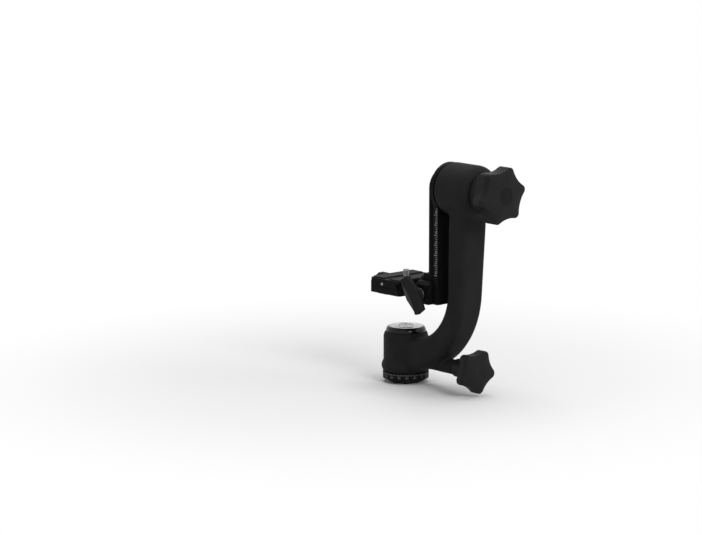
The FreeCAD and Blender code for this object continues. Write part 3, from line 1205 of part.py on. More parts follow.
def buildWing():
    # The wing: a hub with two tapered blades, tilted as it is left when tight.
    wingBack = bracketReach + wingWasherThickness + movingGap
    washer = ring("wing_washer", wingStudRadius + runningFit, wingWasherRadius, wingWasherThickness)
    put(washer, wingScrewX, -bracketReach - movingGap, wingScrewHeight, (1, 0, 0), 90)
    wing = newBody("height_wing")
    sketch = newSketch(wing, "wing_blades", "XY_Plane", "z", wingBladeBack)
    drawOutline(sketch, [
        (wingHalfSpan, -wingTipHalfWidth), (wingHalfSpan, wingTipHalfWidth),
        (0, wingRootHalfWidth), (-wingHalfSpan, wingTipHalfWidth),
        (-wingHalfSpan, -wingTipHalfWidth), (0, -wingRootHalfWidth)])
    extrude(wing, sketch, "wing_pad", wingThickness)
    roundEdges(wing, "wing_ends", wingEndRound,
               lambda edge: isUpright(edge) and abs(edge.Vertexes[0].X) > 1)
    low = wingBladeBack.value
    roundEdges(wing, "wing_round", wingEdgeRound,
               lambda edge: flatAt(edge, low + wingThickness.value, low))
    sketch = newSketch(wing, "wing_hub", "XZ_Plane")
    drawOutline(sketch, [
        (0, 0), (wingHubRadius, 0), (wingHubFrontRadius, wingHubLength), (0, wingHubLength)])
    spin(wing, sketch, "wing_hubbed")
    sketch = newSketch(wing, "wing_bore", "XY_Plane")
    drawCircle(sketch, 0, 0, wingStudRadius)
    extrude(wing, sketch, "wing_bored", wingHubLength, cut=True, back=True)
    lay = FreeCAD.Rotation(Vector(1, 0, 0), 90).multiply(FreeCAD.Rotation(Vector(0, 0, 1), -wingTilt))
    wing.Placement = FreeCAD.Placement(Vector(0, 0, 0), lay)
    back = -wingBack - movingGap
    for letter, number in zip("xyz", (wingScrewX, back, wingScrewHeight)):
        bind(wing, "Placement.Base." + letter, number)
    stud = turned("height_stud", [(0, 0), (wingStudRadius, 0), (wingStudRadius, wingStudLength),
                                  (0, wingStudLength)])
    put(stud, wingScrewX, back - wingHubLength + wingStudLength, wingScrewHeight, (1, 0, 0), 90)


def checkAndExport():
    doc.recompute()
    failed = [thing.Label for thing in doc.Objects
              if "Invalid" in thing.State or "Error" in thing.State]
    for label, node in nodes.items():
        if node.Shape.isNull() or not node.Shape.isValid() or not node.Shape.Solids:
            failed.append(label + " has no valid solid")
    if failed:
        raise RuntimeError("failed: " + ", ".join(failed))
    os.makedirs("parts", exist_ok=True)
    for label, node in nodes.items():
        node.Shape.exportStep("parts/%s.step" % label)
        print("%-22s %2d solids %10.1f mm3" % (label, len(node.Shape.Solids), node.Shape.Volume))


buildBase()
buildArm()
buildCap()
buildPanLock()
buildCradle()
buildTiltLock()
buildPlatform()
buildWing()
buildQuickRelease()
checkAndExport()
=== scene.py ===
import bpy
import bmesh
import json
import math
from mathutils import Matrix, Vector


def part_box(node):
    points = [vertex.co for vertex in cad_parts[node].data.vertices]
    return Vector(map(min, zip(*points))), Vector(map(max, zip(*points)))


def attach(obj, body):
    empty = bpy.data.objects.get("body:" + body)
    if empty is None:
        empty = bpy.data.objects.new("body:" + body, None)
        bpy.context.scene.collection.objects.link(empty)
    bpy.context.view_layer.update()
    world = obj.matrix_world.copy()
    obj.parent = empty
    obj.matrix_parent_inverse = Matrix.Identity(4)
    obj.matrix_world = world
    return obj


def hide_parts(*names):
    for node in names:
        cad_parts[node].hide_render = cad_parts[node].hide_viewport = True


# Gimbal tripod head: finishes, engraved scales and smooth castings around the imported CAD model.
# Metres, Z up along the pan axis. Lengths in the dictionaries are millimetres, named by mm().

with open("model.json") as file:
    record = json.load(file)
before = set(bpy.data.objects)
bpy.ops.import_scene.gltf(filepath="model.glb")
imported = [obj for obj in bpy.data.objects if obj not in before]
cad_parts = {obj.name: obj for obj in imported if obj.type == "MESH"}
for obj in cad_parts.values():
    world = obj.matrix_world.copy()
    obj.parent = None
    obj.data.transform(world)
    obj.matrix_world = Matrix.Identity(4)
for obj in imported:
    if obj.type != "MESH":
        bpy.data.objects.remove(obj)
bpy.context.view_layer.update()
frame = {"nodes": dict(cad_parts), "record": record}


def mm(length):
    return length * 0.001


# Lowest and highest corner of a CAD node in millimetres.
def nodeBox(name):
    low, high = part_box(name)
    return low * 1000, high * 1000


tiltHeight = sum(corner.z for corner in nodeBox("tilt_shaft")) / 2
panLockHeight = sum(corner.z for corner in nodeBox("pan_knob_stud")) / 2
print("frame loaded, tilt axis at", round(tiltHeight, 1), "mm")


# Shader helpers

def addNode(tree, kind, **values):
    made = tree.nodes.new(kind)
    for name, value in values.items():
        if name in made.inputs:
            made.inputs[name].default_value = value
        else:
            setattr(made, name, value)
    return made


# Link a socket to another one, or give it a plain value.
def feed(tree, value, socket):
    if isinstance(value, bpy.types.NodeSocket):
        tree.links.new(value, socket)
    else:
        socket.default_value = value


def mathNode(tree, operation, *values):
    made = addNode(tree, "ShaderNodeMath", operation=operation)
    for socket, value in zip(made.inputs, values):
        feed(tree, value, socket)
    return made.outputs[0]


# Map a value from one range to another.
def mapRange(tree, value, start, end, low=0.0, high=1.0, **options):
    made = addNode(tree, "ShaderNodeMapRange", **options)
    for label, setting in (("Value", value), ("From Min", start), ("From Max", end),
                           ("To Min", low), ("To Max", high)):
        feed(tree, setting, made.inputs[label])
    return made.outputs["Result"]


def mixColours(tree, share, first, second):
    made = addNode(tree, "ShaderNodeMix", data_type="RGBA")
    for value, socket in ((share, made.inputs["Factor"]), (first, made.inputs[6]),
                          (second, made.inputs[7])):
        feed(tree, value, socket)
    return made.outputs[2]


def objectPlace(tree):
    return addNode(tree, "ShaderNodeTexCoord").outputs["Object"]


# Noise in Object coordinates.
def noiseNode(tree, scale, detail, roughness=0.5):
    made = addNode(tree, "ShaderNodeTexNoise", Detail=detail, Roughness=roughness)
    feed(tree, scale, made.inputs["Scale"])
    feed(tree, objectPlace(tree), made.inputs["Vector"])
    return made.outputs["Fac"]


# Lead a height into the shader's normal, depth in millimetres.
def addBump(tree, height, strength, depth):
    bump = addNode(tree, "ShaderNodeBump", Strength=strength, Distance=mm(depth))
    feed(tree, height, bump.inputs["Height"])
    feed(tree, bump.outputs["Normal"], tree.nodes["Principled BSDF"].inputs["Normal"])


# A shader group with float or colour sockets.
def newGroup(name, inputs, outputs):
    tree = bpy.data.node_groups.new(name, "ShaderNodeTree")
    for label, value in inputs:
        kind = "NodeSocketColor" if isinstance(value, tuple) else "NodeSocketFloat"
        socket = tree.interface.new_socket(label, in_out="INPUT", socket_type=kind)
        socket.default_value = value
    for label, kind in outputs:
        tree.interface.new_socket(label, in_out="OUTPUT", socket_type=kind)
    return tree, tree.nodes.new("NodeGroupInput"), tree.nodes.new("NodeGroupOutput")


grainLook = {"fineDetail": 3.0, "fineRoughness": 0.6, "speckFrom": 0.52, "speckTo": 0.72,
             "cloudScale": 55.0, "cloudDetail": 4.0, "cloudFrom": 0.3, "cloudTo": 0.7,
             "darkest": 0.82, "lightest": 1.15}


# Fine grain: speckled colour, uneven roughness and a height, from Object coordinates.
def makeGrainGroup():
    tree, given, result = newGroup("surfaceGrain", [
        ("Base", (0.02, 0.02, 0.02, 1)), ("Speck", (0.04, 0.04, 0.04, 1)), ("Scale", 2500.0),
        ("Speck Amount", 0.3), ("Roughness", 0.7), ("Roughness Spread", 0.1)],
        [("Color", "NodeSocketColor"), ("Roughness", "NodeSocketFloat"), ("Height", "NodeSocketFloat")])
    look, taken = grainLook, given.outputs
    fine = noiseNode(tree, taken["Scale"], look["fineDetail"], look["fineRoughness"])
    broad = noiseNode(tree, look["cloudScale"], look["cloudDetail"])
    speck = mapRange(tree, fine, look["speckFrom"], look["speckTo"])
    amount = mathNode(tree, "MULTIPLY", speck, taken["Speck Amount"])
    cloud = mapRange(tree, broad, look["cloudFrom"], look["cloudTo"], look["darkest"], look["lightest"])
    shaded = addNode(tree, "ShaderNodeVectorMath", operation="SCALE")
    feed(tree, mixColours(tree, amount, taken["Base"], taken["Speck"]), shaded.inputs[0])
    feed(tree, cloud, shaded.inputs["Scale"])
    centred = mathNode(tree, "SUBTRACT", fine, 0.5)
    uneven = mathNode(tree, "MULTIPLY_ADD", centred, taken["Roughness Spread"], taken["Roughness"])
    for label, value in (("Color", shaded.outputs[0]), ("Roughness", uneven), ("Height", fine)):
        feed(tree, value, result.inputs[label])
    return tree


wearLook = {"edgeFrom": 0.54, "edgeTo": 0.62, "patchScale": 420.0, "patchDetail": 5.0,
            "patchFrom": 0.38, "patchTo": 0.6}


# Edges rubbed to a lighter tone, broken up by noise.
def makeWearGroup():
    tree, given, result = newGroup("edgeWear", [
        ("Color", (0.02, 0.02, 0.02, 1)), ("Worn", (0.2, 0.2, 0.2, 1)), ("Amount", 0.4)],
        [("Color", "NodeSocketColor")])
    look, taken = wearLook, given.outputs
    pointed = addNode(tree, "ShaderNodeNewGeometry").outputs["Pointiness"]
    edge = mapRange(tree, pointed, look["edgeFrom"], look["edgeTo"])
    breakup = noiseNode(tree, look["patchScale"], look["patchDetail"])
    patch = mapRange(tree, breakup, look["patchFrom"], look["patchTo"])
    worn = mathNode(tree, "MULTIPLY", mathNode(tree, "MULTIPLY", edge, patch), taken["Amount"])
    feed(tree, mixColours(tree, worn, taken["Color"], taken["Worn"]), result.inputs["Color"])
    return tree


grainGroup = makeGrainGroup()
wearGroup = makeWearGroup()


def grey(level, tint=(1.0, 1.0, 1.0)):
    return (level * tint[0], level * tint[1], level * tint[2], 1)


# A grained finish with worn edges. Its dictionary holds what sets it apart.
def finishMaterial(name, look):
    material = bpy.data.materials.new(name)
    material.use_nodes = True
    tree = material.node_tree
    shader = tree.nodes["Principled BSDF"]
    shader.inputs["Metallic"].default_value = look.get("metallic", 0.0)
    shader.inputs["Specular IOR Level"].default_value = look.get("specular", 0.5)
    grain = addNode(tree, "ShaderNodeGroup")
    grain.node_tree = grainGroup
    for label, value in (("Base", look["base"]), ("Speck", look["speck"]),
                         ("Scale", look["grainScale"]), ("Speck Amount", look.get("speckAmount", 0.3)),
                         ("Roughness", look["roughness"]),
                         ("Roughness Spread", look.get("roughnessSpread", 0.15))):
        feed(tree, value, grain.inputs[label])
    wear = addNode(tree, "ShaderNodeGroup")
    wear.node_tree = wearGroup
    for label, value in (("Worn", look.get("worn", grey(0.1))), ("Amount", look["wear"]),
                         ("Color", grain.outputs["Color"])):
        feed(tree, value, wear.inputs[label])
    feed(tree, wear.outputs["Color"], shader.inputs["Base Color"])
    feed(tree, grain.outputs["Roughness"], shader.inputs["Roughness"])
    addBump(tree, grain.outputs["Height"], look["bump"], look.get("bumpDepth", 0.05))
    return material


ringCut = {"distortion": 0.6, "detail": 2.0, "bump": 0.15, "depth": 0.02}


# A lathe-cut metal: fine rings round an axis, over the shared grain.
def turnedMaterial(name, look):
    material = finishMaterial(name, look)
    tree = material.node_tree
    rings = addNode(tree, "ShaderNodeTexWave", wave_type="RINGS",
                    rings_direction=look.get("ringAxis", "Z"),
                    Scale=look["ringScale"], Distortion=ringCut["distortion"],
                    Detail=ringCut["detail"])
    centre = addNode(tree, "ShaderNodeMapping", Location=look.get("ringCentre", (0, 0, 0)))
    feed(tree, objectPlace(tree), centre.inputs["Vector"])
    feed(tree, centre.outputs["Vector"], rings.inputs["Vector"])
    addBump(tree, rings.outputs["Fac"], ringCut["bump"], ringCut["depth"])
    return material


blackTint = (1.0, 0.99, 0.98)
finishLooks = {
    "coatedBlack": {
        "base": grey(0.0082, blackTint), "speck": grey(0.019, blackTint), "grainScale": 2300,
        "speckAmount": 0.45, "roughness": 0.72, "roughnessSpread": 0.25, "specular": 0.13,
        "bump": 0.55, "bumpDepth": 0.12, "worn": grey(0.026), "wear": 0.25},
    "knobRubber": {
        "base": grey(0.0098, blackTint), "speck": grey(0.019), "grainScale": 3000,
        "speckAmount": 0.3, "roughness": 0.5, "roughnessSpread": 0.15, "specular": 0.1,
        "bump": 0.3, "bumpDepth": 0.06, "worn": grey(0.04), "wear": 0.3},
    "knobInlay": {
        "base": grey(0.0084, blackTint), "speck": grey(0.016), "grainScale": 3600,
        "speckAmount": 0.25, "roughness": 0.5, "specular": 0.07, "bump": 0.25, "bumpDepth": 0.05,
        "wear": 0.0},
    "anodisedBlack": {
        "base": grey(0.0036), "speck": grey(0.008), "grainScale": 5200, "speckAmount": 0.4,
        "roughness": 0.46, "roughnessSpread": 0.15, "specular": 0.05, "bump": 0.22,
        "bumpDepth": 0.03, "worn": grey(0.04), "wear": 0.2},
    "ringBlack": {
        "base": grey(0.004), "speck": grey(0.009), "grainScale": 5200, "speckAmount": 0.4,
        "roughness": 0.45, "specular": 0.06, "bump": 0.2, "bumpDepth": 0.03,
        "worn": grey(0.05), "wear": 0.3},
    "steel": {
        "ringScale": 900.0,
        "base": grey(0.26), "speck": grey(0.32), "grainScale": 2600, "metallic": 1.0,
        "roughness": 0.38, "bump": 0.1, "worn": grey(0.6), "wear": 0.2},
    "blackSteel": {
        "base": grey(0.02), "speck": grey(0.05), "grainScale": 3800, "roughness": 0.4,
        "metallic": 0.6, "bump": 0.15, "worn": grey(0.3), "wear": 0.7},
    "brass": {
        "ringScale": 900.0,
        "base": (0.6, 0.4, 0.15, 1), "speck": (0.45, 0.28, 0.1, 1), "grainScale": 2200,
        "metallic": 1.0, "roughness": 0.3, "bump": 0.1, "worn": (0.8, 0.6, 0.3, 1), "wear": 0.3,
        "ringAxis": "X", "ringCentre": (0, 0, -mm(panLockHeight))},
    "bearingSteel": {
        "ringScale": 900.0,
        "base": grey(0.55), "speck": grey(0.6), "grainScale": 2600, "metallic": 1.0,
        "roughness": 0.16, "bump": 0.05, "worn": grey(0.7), "wear": 0.1},
    "slickWasher": {
        "base": grey(0.7), "speck": grey(0.6), "grainScale": 900, "roughness": 0.45, "bump": 0.1,
        "worn": grey(0.6), "wear": 0.2},
    "bezelSilver": {
        "base": grey(0.5), "speck": grey(0.58), "grainScale": 2600, "metallic": 1.0,
        "roughness": 0.28, "bump": 0.1, "worn": grey(0.7), "wear": 0.3, "ringScale": 700.0},
    "padRubber": {
        "base": grey(0.014), "speck": grey(0.03), "grainScale": 1800, "speckAmount": 0.5,
        "roughness": 0.85, "specular": 0.3, "bump": 0.5, "bumpDepth": 0.1, "worn": grey(0.05),
        "wear": 0.4},
    "markGrey": {
        "base": grey(0.16), "speck": grey(0.07), "grainScale": 2600, "speckAmount": 0.6,
        "roughness": 0.6, "bump": 0.2, "bumpDepth": 0.03, "wear": 0.0},
    "scaleWhite": {
        "base": grey(0.34), "speck": grey(0.16), "grainScale": 2600, "speckAmount": 0.6,
        "roughness": 0.6, "bump": 0.2, "bumpDepth": 0.03, "wear": 0.0},
    "vialFluid": {
        "base": (0.62, 0.68, 0.42, 1), "speck": (0.66, 0.72, 0.48, 1), "grainScale": 400,
        "roughness": 0.12, "bump": 0.02, "wear": 0.0},
    "bubbleWhite": {
        "base": (0.85, 0.88, 0.78, 1), "speck": (0.8, 0.84, 0.7, 1), "grainScale": 300,
        "roughness": 0.08, "bump": 0.02, "wear": 0.0},
}
materials = {}
for finishName, finishLook in finishLooks.items():
    makeFinish = turnedMaterial if "ringScale" in finishLook else finishMaterial
    materials[finishName] = makeFinish(finishName, finishLook)


# The satin top's grey is a painted reflection of the bright surroundings, faded in at the edge of the
# bevel.
capLook = {"hollow": 13.0, "skirt": 18.0, "skirtHeight": 8.5, "bevelHeight": 4.4, "bevelWidth": 3.4,
           "floor": 2.0, "ringLine": 1.8, "polish": 0.13, "satin": 0.3, "reflectionGrey": 0.52,
           "reflectionFrom": 0.15, "reflectionTo": 0.05, "flangeEdge": 0.2, "lineTop": 0.4, "lineFloor": 0.3,
           "lineDepth": 0.2}


# Black polished lid with a satin top. The top's pale metal grey is a painted reflection of the bright
# surroundings. The distance from the axis tells them apart.
def makeCapMaterial():
    look = {"base": grey(0.006), "speck": grey(0.01), "grainScale": 4000, "roughness": 0.13,
            "roughnessSpread": 0.05, "bump": 0.03, "bumpDepth": 0.02, "wear": 0.0, "specular": 0.2}
    material = finishMaterial("polishedCap", look)
    tree = material.node_tree
    shader = tree.nodes["Principled BSDF"]
    reflectionRadius = nodeBox("hub_cap")[1].x - capLook["bevelWidth"]
    flat = addNode(tree, "ShaderNodeVectorMath", operation="MULTIPLY")
    feed(tree, objectPlace(tree), flat.inputs[0])
    feed(tree, (1, 1, 0), flat.inputs[1])
    away = addNode(tree, "ShaderNodeVectorMath", operation="LENGTH")
    feed(tree, flat.outputs[0], away.inputs[0])
    mask = mapRange(tree, away.outputs["Value"], mm(reflectionRadius + capLook["reflectionFrom"]),
                    mm(reflectionRadius - capLook["reflectionTo"]))
    black = shader.inputs["Base Color"].links[0].from_socket
    # Painted reflection: inside the bevel the lid takes a pale grey that stands for the bright
    # surroundings reflected in its top.
    colour = mixColours(tree, mask, black, grey(capLook["reflectionGrey"]))
    rough = addNode(tree, "ShaderNodeMix", data_type="FLOAT")
    for value, socket in ((mask, rough.inputs["Factor"]), (capLook["polish"], rough.inputs[2]),
                          (capLook["satin"], rough.inputs[3]), (colour, shader.inputs["Base Color"]),
                          (mask, shader.inputs["Metallic"])):
        feed(tree, value, socket)
    feed(tree, rough.outputs[0], shader.inputs["Roughness"])
    return material


def makeGlassMaterial(name, colour, roughness):
    material = bpy.data.materials.new(name)
    material.use_nodes = True
    tree = material.node_tree
    shader = tree.nodes["Principled BSDF"]
    shader.inputs["Base Color"].default_value = colour
    shader.inputs["Transmission Weight"].default_value = 1.0
    shader.inputs["IOR"].default_value = 1.45
    smear = noiseNode(tree, 300.0, 3.0)
    spread = mapRange(tree, smear, 0.0, 1.0, roughness, roughness + 0.06)
    feed(tree, spread, shader.inputs["Roughness"])
    return material


materials["polishedCap"] = makeCapMaterial()
materials["vialGlass"] = makeGlassMaterial("vialGlass", (1, 1, 1, 1), 0.0)
print("materials made:", len(materials))

slotLooks = {
    "coated_black": "coatedBlack", "knob_rubber": "knobRubber", "anodised_black": "anodisedBlack",
    "polished_black": "polishedCap", "ring_black": "ringBlack", "steel": "steel",
    "black_steel": "blackSteel", "brass": "brass", "bearing_steel": "bearingSteel",
    "ptfe": "slickWasher", "bezel_silver": "bezelSilver", "vial_glass": "vialGlass",
    "vial_fluid": "vialFluid", "pad_rubber": "padRubber"}
nodeSlots = {entry["node"]: entry["material_slot"] for entry in frame["record"]["subparts"]}
nodeBodies = {node: body for body, members in frame["record"]["behaviour"]["bodies"].items()
              for node in members}
for nodeName, cadNode in frame["nodes"].items():
    cadNode.data.materials.clear()
    cadNode.data.materials.append(materials[slotLooks[nodeSlots[nodeName]]])


# Mesh helpers

def placeObject(name, data):
    made = bpy.data.objects.new(name, data)
    bpy.context.scene.collection.objects.link(made)
    return made


def paint(mesh, look):
    mesh.materials.clear()
    mesh.materials.append(materials[look])


# Link a finished mesh as a piece of the object.
def newPiece(name, mesh, body, look, replaced=()):
    piece = placeObject(name, mesh)
    if look:
        paint(mesh, look)
    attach(piece, body)
    if replaced:
        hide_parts(*replaced)
    return piece


def smoothShade(mesh, angle=35):
    for polygon in mesh.polygons:
        polygon.use_smooth = True
    mesh.set_sharp_from_angle(angle=math.radians(angle))


# Freeze the modifiers into the mesh and remove them.
def applyModifiers(piece):
    bpy.context.view_layer.update()
    evaluated = piece.evaluated_get(bpy.context.evaluated_depsgraph_get())
    mesh = bpy.data.meshes.new_from_object(evaluated)
    piece.modifiers.clear()
    piece.data = mesh
    return mesh


meshLook = {"mergeGap": 0.004, "flatAngle": 0.8, "bevelSegments": 3, "bevelFrom": 32,
            "smoothTo": 40, "flatWeight": 90}


# The CAD node's mesh with its doubles merged, and its flat faces joined where that is asked for.
def cleanMesh(nodeName, joinFlats=True):
    mesh = frame["nodes"][nodeName].data.copy()
    shape = bmesh.new()
    shape.from_mesh(mesh)
    bmesh.ops.remove_doubles(shape, verts=shape.verts, dist=mm(meshLook["mergeGap"]))
    if joinFlats:
        bmesh.ops.dissolve_limit(shape, angle_limit=math.radians(meshLook["flatAngle"]),
                                 verts=shape.verts, edges=shape.edges)
    shape.to_mesh(mesh)
    shape.free()
    return mesh


# A mesh from a bmesh, with its normals outwards.
def finishShape(shape, name):
    bmesh.ops.recalc_face_normals(shape, faces=shape.faces)
    mesh = bpy.data.meshes.new(name)
    shape.to_mesh(mesh)
    shape.free()
    return mesh


def addBevel(piece, width, fromAngle):
    bevel = piece.modifiers.new("ease", "BEVEL")
    bevel.width = mm(width)
    bevel.segments = meshLook["bevelSegments"]
    bevel.limit_method = "ANGLE"
    bevel.angle_limit = math.radians(fromAngle)


# A CAD node with its hard edges eased, so that they catch the light.
def bevelledPiece(nodeName, width):
    slotName = nodeSlots[nodeName]
    piece = newPiece(nodeName + "_eased", cleanMesh(nodeName), nodeBodies[nodeName],
                     slotLooks[slotName])
    addBevel(piece, width, meshLook["bevelFrom"])
    smoothShade(applyModifiers(piece), meshLook["smoothTo"])
    weigh = piece.modifiers.new("weigh", "WEIGHTED_NORMAL")
    weigh.keep_sharp = True
    weigh.weight = meshLook["flatWeight"]
    applyModifiers(piece)
    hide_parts(nodeName)


# Turn a closed outline of (radius, height) pairs, in millimetres, about Z.
def latheMesh(name, profile, steps=144):
    shape = bmesh.new()
    rings = []
    turns = [2 * math.pi * step / steps for step in range(steps)]
    for radius, height in profile:
        if radius < 1e-6:
            rings.append([shape.verts.new((0, 0, mm(height)))])
            continue
        rings.append([shape.verts.new((mm(radius) * math.cos(turn), mm(radius) * math.sin(turn),
                                       mm(height))) for turn in turns])
    joinRows(shape, rings, True)
    mesh = finishShape(shape, name)
    smoothShade(mesh, 30)
    return mesh


# Faces between two rings of vertices, either of which may be one point.
def joinRings(shape, first, second):
    if len(first) == 1 and len(second) == 1:
        return
    count = max(len(first), len(second))
    for step in range(count):
        following = (step + 1) % count
        if len(first) == 1:
            shape.faces.new((first[0], second[following], second[step]))
        elif len(second) == 1:
            shape.faces.new((first[step], first[following], second[0]))
        else:
            shape.faces.new((first[step], first[following], second[following], second[step]))


# Faces between each ring and the next one, and from the last to the first where it is closed.
def joinRows(shape, rings, closed=False):
    for index in range(0 if closed else 1, len(rings)):
        joinRings(shape, rings[index - 1], rings[index])


# Points of an arc in (radius, height), angles in degrees.
def arcPoints(centre, radius, start, end, steps):
    points = []
    for step in range(steps + 1):
        turn = math.radians(start + (end - start) * step / steps)
        points.append((centre[0] + radius * math.cos(turn), centre[1] + radius * math.sin(turn)))
    return points


layAlongX = Matrix.Rotation(math.radians(90), 4, "Y")


# The casting: one skin with soft blends where the arm meets the barrel, the hub and the stem

armLook = {
    "voxel": 0.95,        # remesh size
    "evenSteps": 4,       # light smoothing everywhere
    "blendSteps": 60,     # heavy smoothing at the joints
    "hubBlend": 13.0,     # reach of the blend under the tilt hub
    "hubShare": 0.45,     # the blend starts this share of the hub's radius below its axis
    "hubInset": (3.0, 7.0),
    "barrelBlend": 8.0,   # reach of the blend round the barrel
    "barrelFrom": 10.0,   # least X, greatest Y and height above the barrel for that blend
    "barrelHalf": 20.0,
    "barrelAbove": 8.0,
    "fadeFrom": (1.0, 22.0),   # the barrel's blend fades above its top and inside this X
    "fadeSpan": 4.0,
    "rimDepth": 1.9,      # the rim stands this far out of the barrel, up to about this height
    "rimTop": 22.0,
    "capAbove": 5.1,      # the cap's height above the barrel
    "stemBlend": 9.0,     # reach of the blend where the stem leaves the bend
    "stemFrom": 26.0,
    "stemInset": 4.0,
    "stemRadius": 7.5,
    "bendX": 5.3,         # centre and radius of the arm's outer bend
    "bendHeight": 103.8,
    "bendRadius": 90.8,
}


# How strongly a point of the casting is smoothed, from where it lies.
def blendWeight(point, sizes):
    x, y, z = point
    look = armLook
    onHub = onBarrel = onStem = 0.0
    hubLeft, hubRight = sizes["hubInner"] + look["hubInset"][0], sizes["hubOuter"] - look["hubInset"][1]
    if z < tiltHeight - sizes["hubRadius"] * look["hubShare"] and hubLeft < x < hubRight:
        onHub = 1.0 - abs(math.hypot(y, z - tiltHeight) - sizes["hubRadius"]) / look["hubBlend"]
    top = sizes["barrelTop"]
    if (x > look["barrelFrom"] and look["rimTop"] < z < top + look["barrelAbove"]
            and abs(y) < look["barrelHalf"]):
        onBarrel = 1.0 - abs(math.hypot(x, y) - sizes["barrelRadius"]) / look["barrelBlend"]
        rise, side = look["fadeFrom"]
        onBarrel *= min(1.0, max(0.0, (top + rise - z + x - side) / look["fadeSpan"]))
    if look["stemFrom"] < x < sizes["stemEnd"] - look["stemInset"]:
        fromStem = abs(math.hypot(y, z - panLockHeight) - look["stemRadius"])
        fromBend = abs(math.hypot(x - look["bendX"], z - look["bendHeight"]) - look["bendRadius"])
        onStem = 1.0 - math.hypot(fromStem, fromBend) / look["stemBlend"]
    return max(0.0, min(1.0, max(onHub, onBarrel, onStem)))


def buildArm():
    armLow, armHigh = nodeBox("j_arm")
    hubLow, hubHigh = nodeBox("tilt_bearing_inner")[0], nodeBox("tilt_bearing_outer")[1]
    sizes = {
        "hubRadius": armHigh.z - tiltHeight, "hubInner": hubLow.x - 0.5, "hubOuter": hubHigh.x + 1,
        "barrelRadius": -armLow.x - armLook["rimDepth"],
        "barrelTop": nodeBox("hub_cap")[1].z - armLook["capAbove"],
        "stemEnd": nodeBox("pan_knob")[0].x - 2}
    piece = newPiece("casting", cleanMesh("j_arm", False), "arm", "coatedBlack")
    remesh = piece.modifiers.new("skin", "REMESH")
    remesh.mode = "VOXEL"
    remesh.voxel_size = mm(armLook["voxel"])
    applyModifiers(piece)
    weights = piece.vertex_groups.new(name="blend")
    for vertex in piece.data.vertices:
        weight = blendWeight(vertex.co * 1000, sizes)
        if weight > 0:
            weights.add([vertex.index], weight, "REPLACE")
    blend = piece.modifiers.new("blend", "SMOOTH")
    blend.vertex_group = "blend"
    blend.factor = 0.7
    blend.iterations = armLook["blendSteps"]
    even = piece.modifiers.new("even", "SMOOTH")
    even.factor = 0.5
    even.iterations = armLook["evenSteps"]
    mesh = applyModifiers(piece)
    smoothShade(mesh, 60)
    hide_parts("j_arm")
    print("casting:", len(mesh.polygons), "faces")


# Knobs

tiltKnobLook = {
    "lobes": 6, "firstLobe": 40.3, "outer": 28.4, "valley": 23.2, "tip": 4.8, "thickness": 17.0,
    "collarFront": 21.4, "collarBack": 20.2, "bore": 8.0, "edge": 1.1, "inlay": 8.2, "crown": 1.8,
    "dish": 0.3, "centre": "knobInlay"}
panKnobLook = {
    "lobes": 5, "firstLobe": 6.0, "outer": 22.0, "valley": 17.2, "tip": 5.0, "thickness": 12.5,
    "collarFront": 9.6, "collarBack": 9.0, "bore": 4.0, "edge": 1.1, "inlay": 5.0, "crown": 1.4,
    "dish": 0.08, "centre": "knobRubber"}
outlineSteps = 16
knobTrim = {"boreShare": 0.8, "boreRise": 4.0, "collarEdge": 0.4, "collarStep": 0.6, "neckShare": 0.96,
            "partingHalf": 0.25, "partingProud": 0.07, "crownPower": 1.6, "crownRim": 0.6,
            "inlayRim": 0.5, "inlayLip": 0.1, "inlaySlope": 0.9}


# Points and outward normals of tangent tip and valley arcs, in millimetres. The first lobe's angle
# starts at the knob's own x axis, which points down once the knob lies along X.
def lobedOutline(look):
    half = math.pi / look["lobes"]
    lean = math.cos(half)
    tipCentre = look["outer"] - look["tip"]
    valleyArc = ((look["tip"] ** 2 - tipCentre ** 2 - look["valley"] ** 2
                  + 2 * tipCentre * look["valley"] * lean)
                 / (2 * (look["valley"] - tipCentre * lean - look["tip"])))
    valleyCentre = look["valley"] + valleyArc
    tipSpan = math.atan2(valleyCentre * math.sin(half), valleyCentre * lean - tipCentre)
    dipSpan = tipSpan - half
    points = []
    for lobe in range(look["lobes"]):
        middle = math.radians(look["firstLobe"]) + 2 * half * lobe
        for step in range(outlineSteps):
            turn = middle - tipSpan + 2 * tipSpan * step / outlineSteps
            centre = (tipCentre * math.cos(middle), tipCentre * math.sin(middle))
            points.append((centre[0] + look["tip"] * math.cos(turn),
                           centre[1] + look["tip"] * math.sin(turn),
                           math.cos(turn), math.sin(turn)))
        dip = middle + half
        for step in range(outlineSteps):
            turn = dip + math.pi + dipSpan - 2 * dipSpan * step / outlineSteps
            centre = (valleyCentre * math.cos(dip), valleyCentre * math.sin(dip))
            points.append((centre[0] + valleyArc * math.cos(turn),
                           centre[1] + valleyArc * math.sin(turn),
                           -math.cos(turn), -math.sin(turn)))
    return points


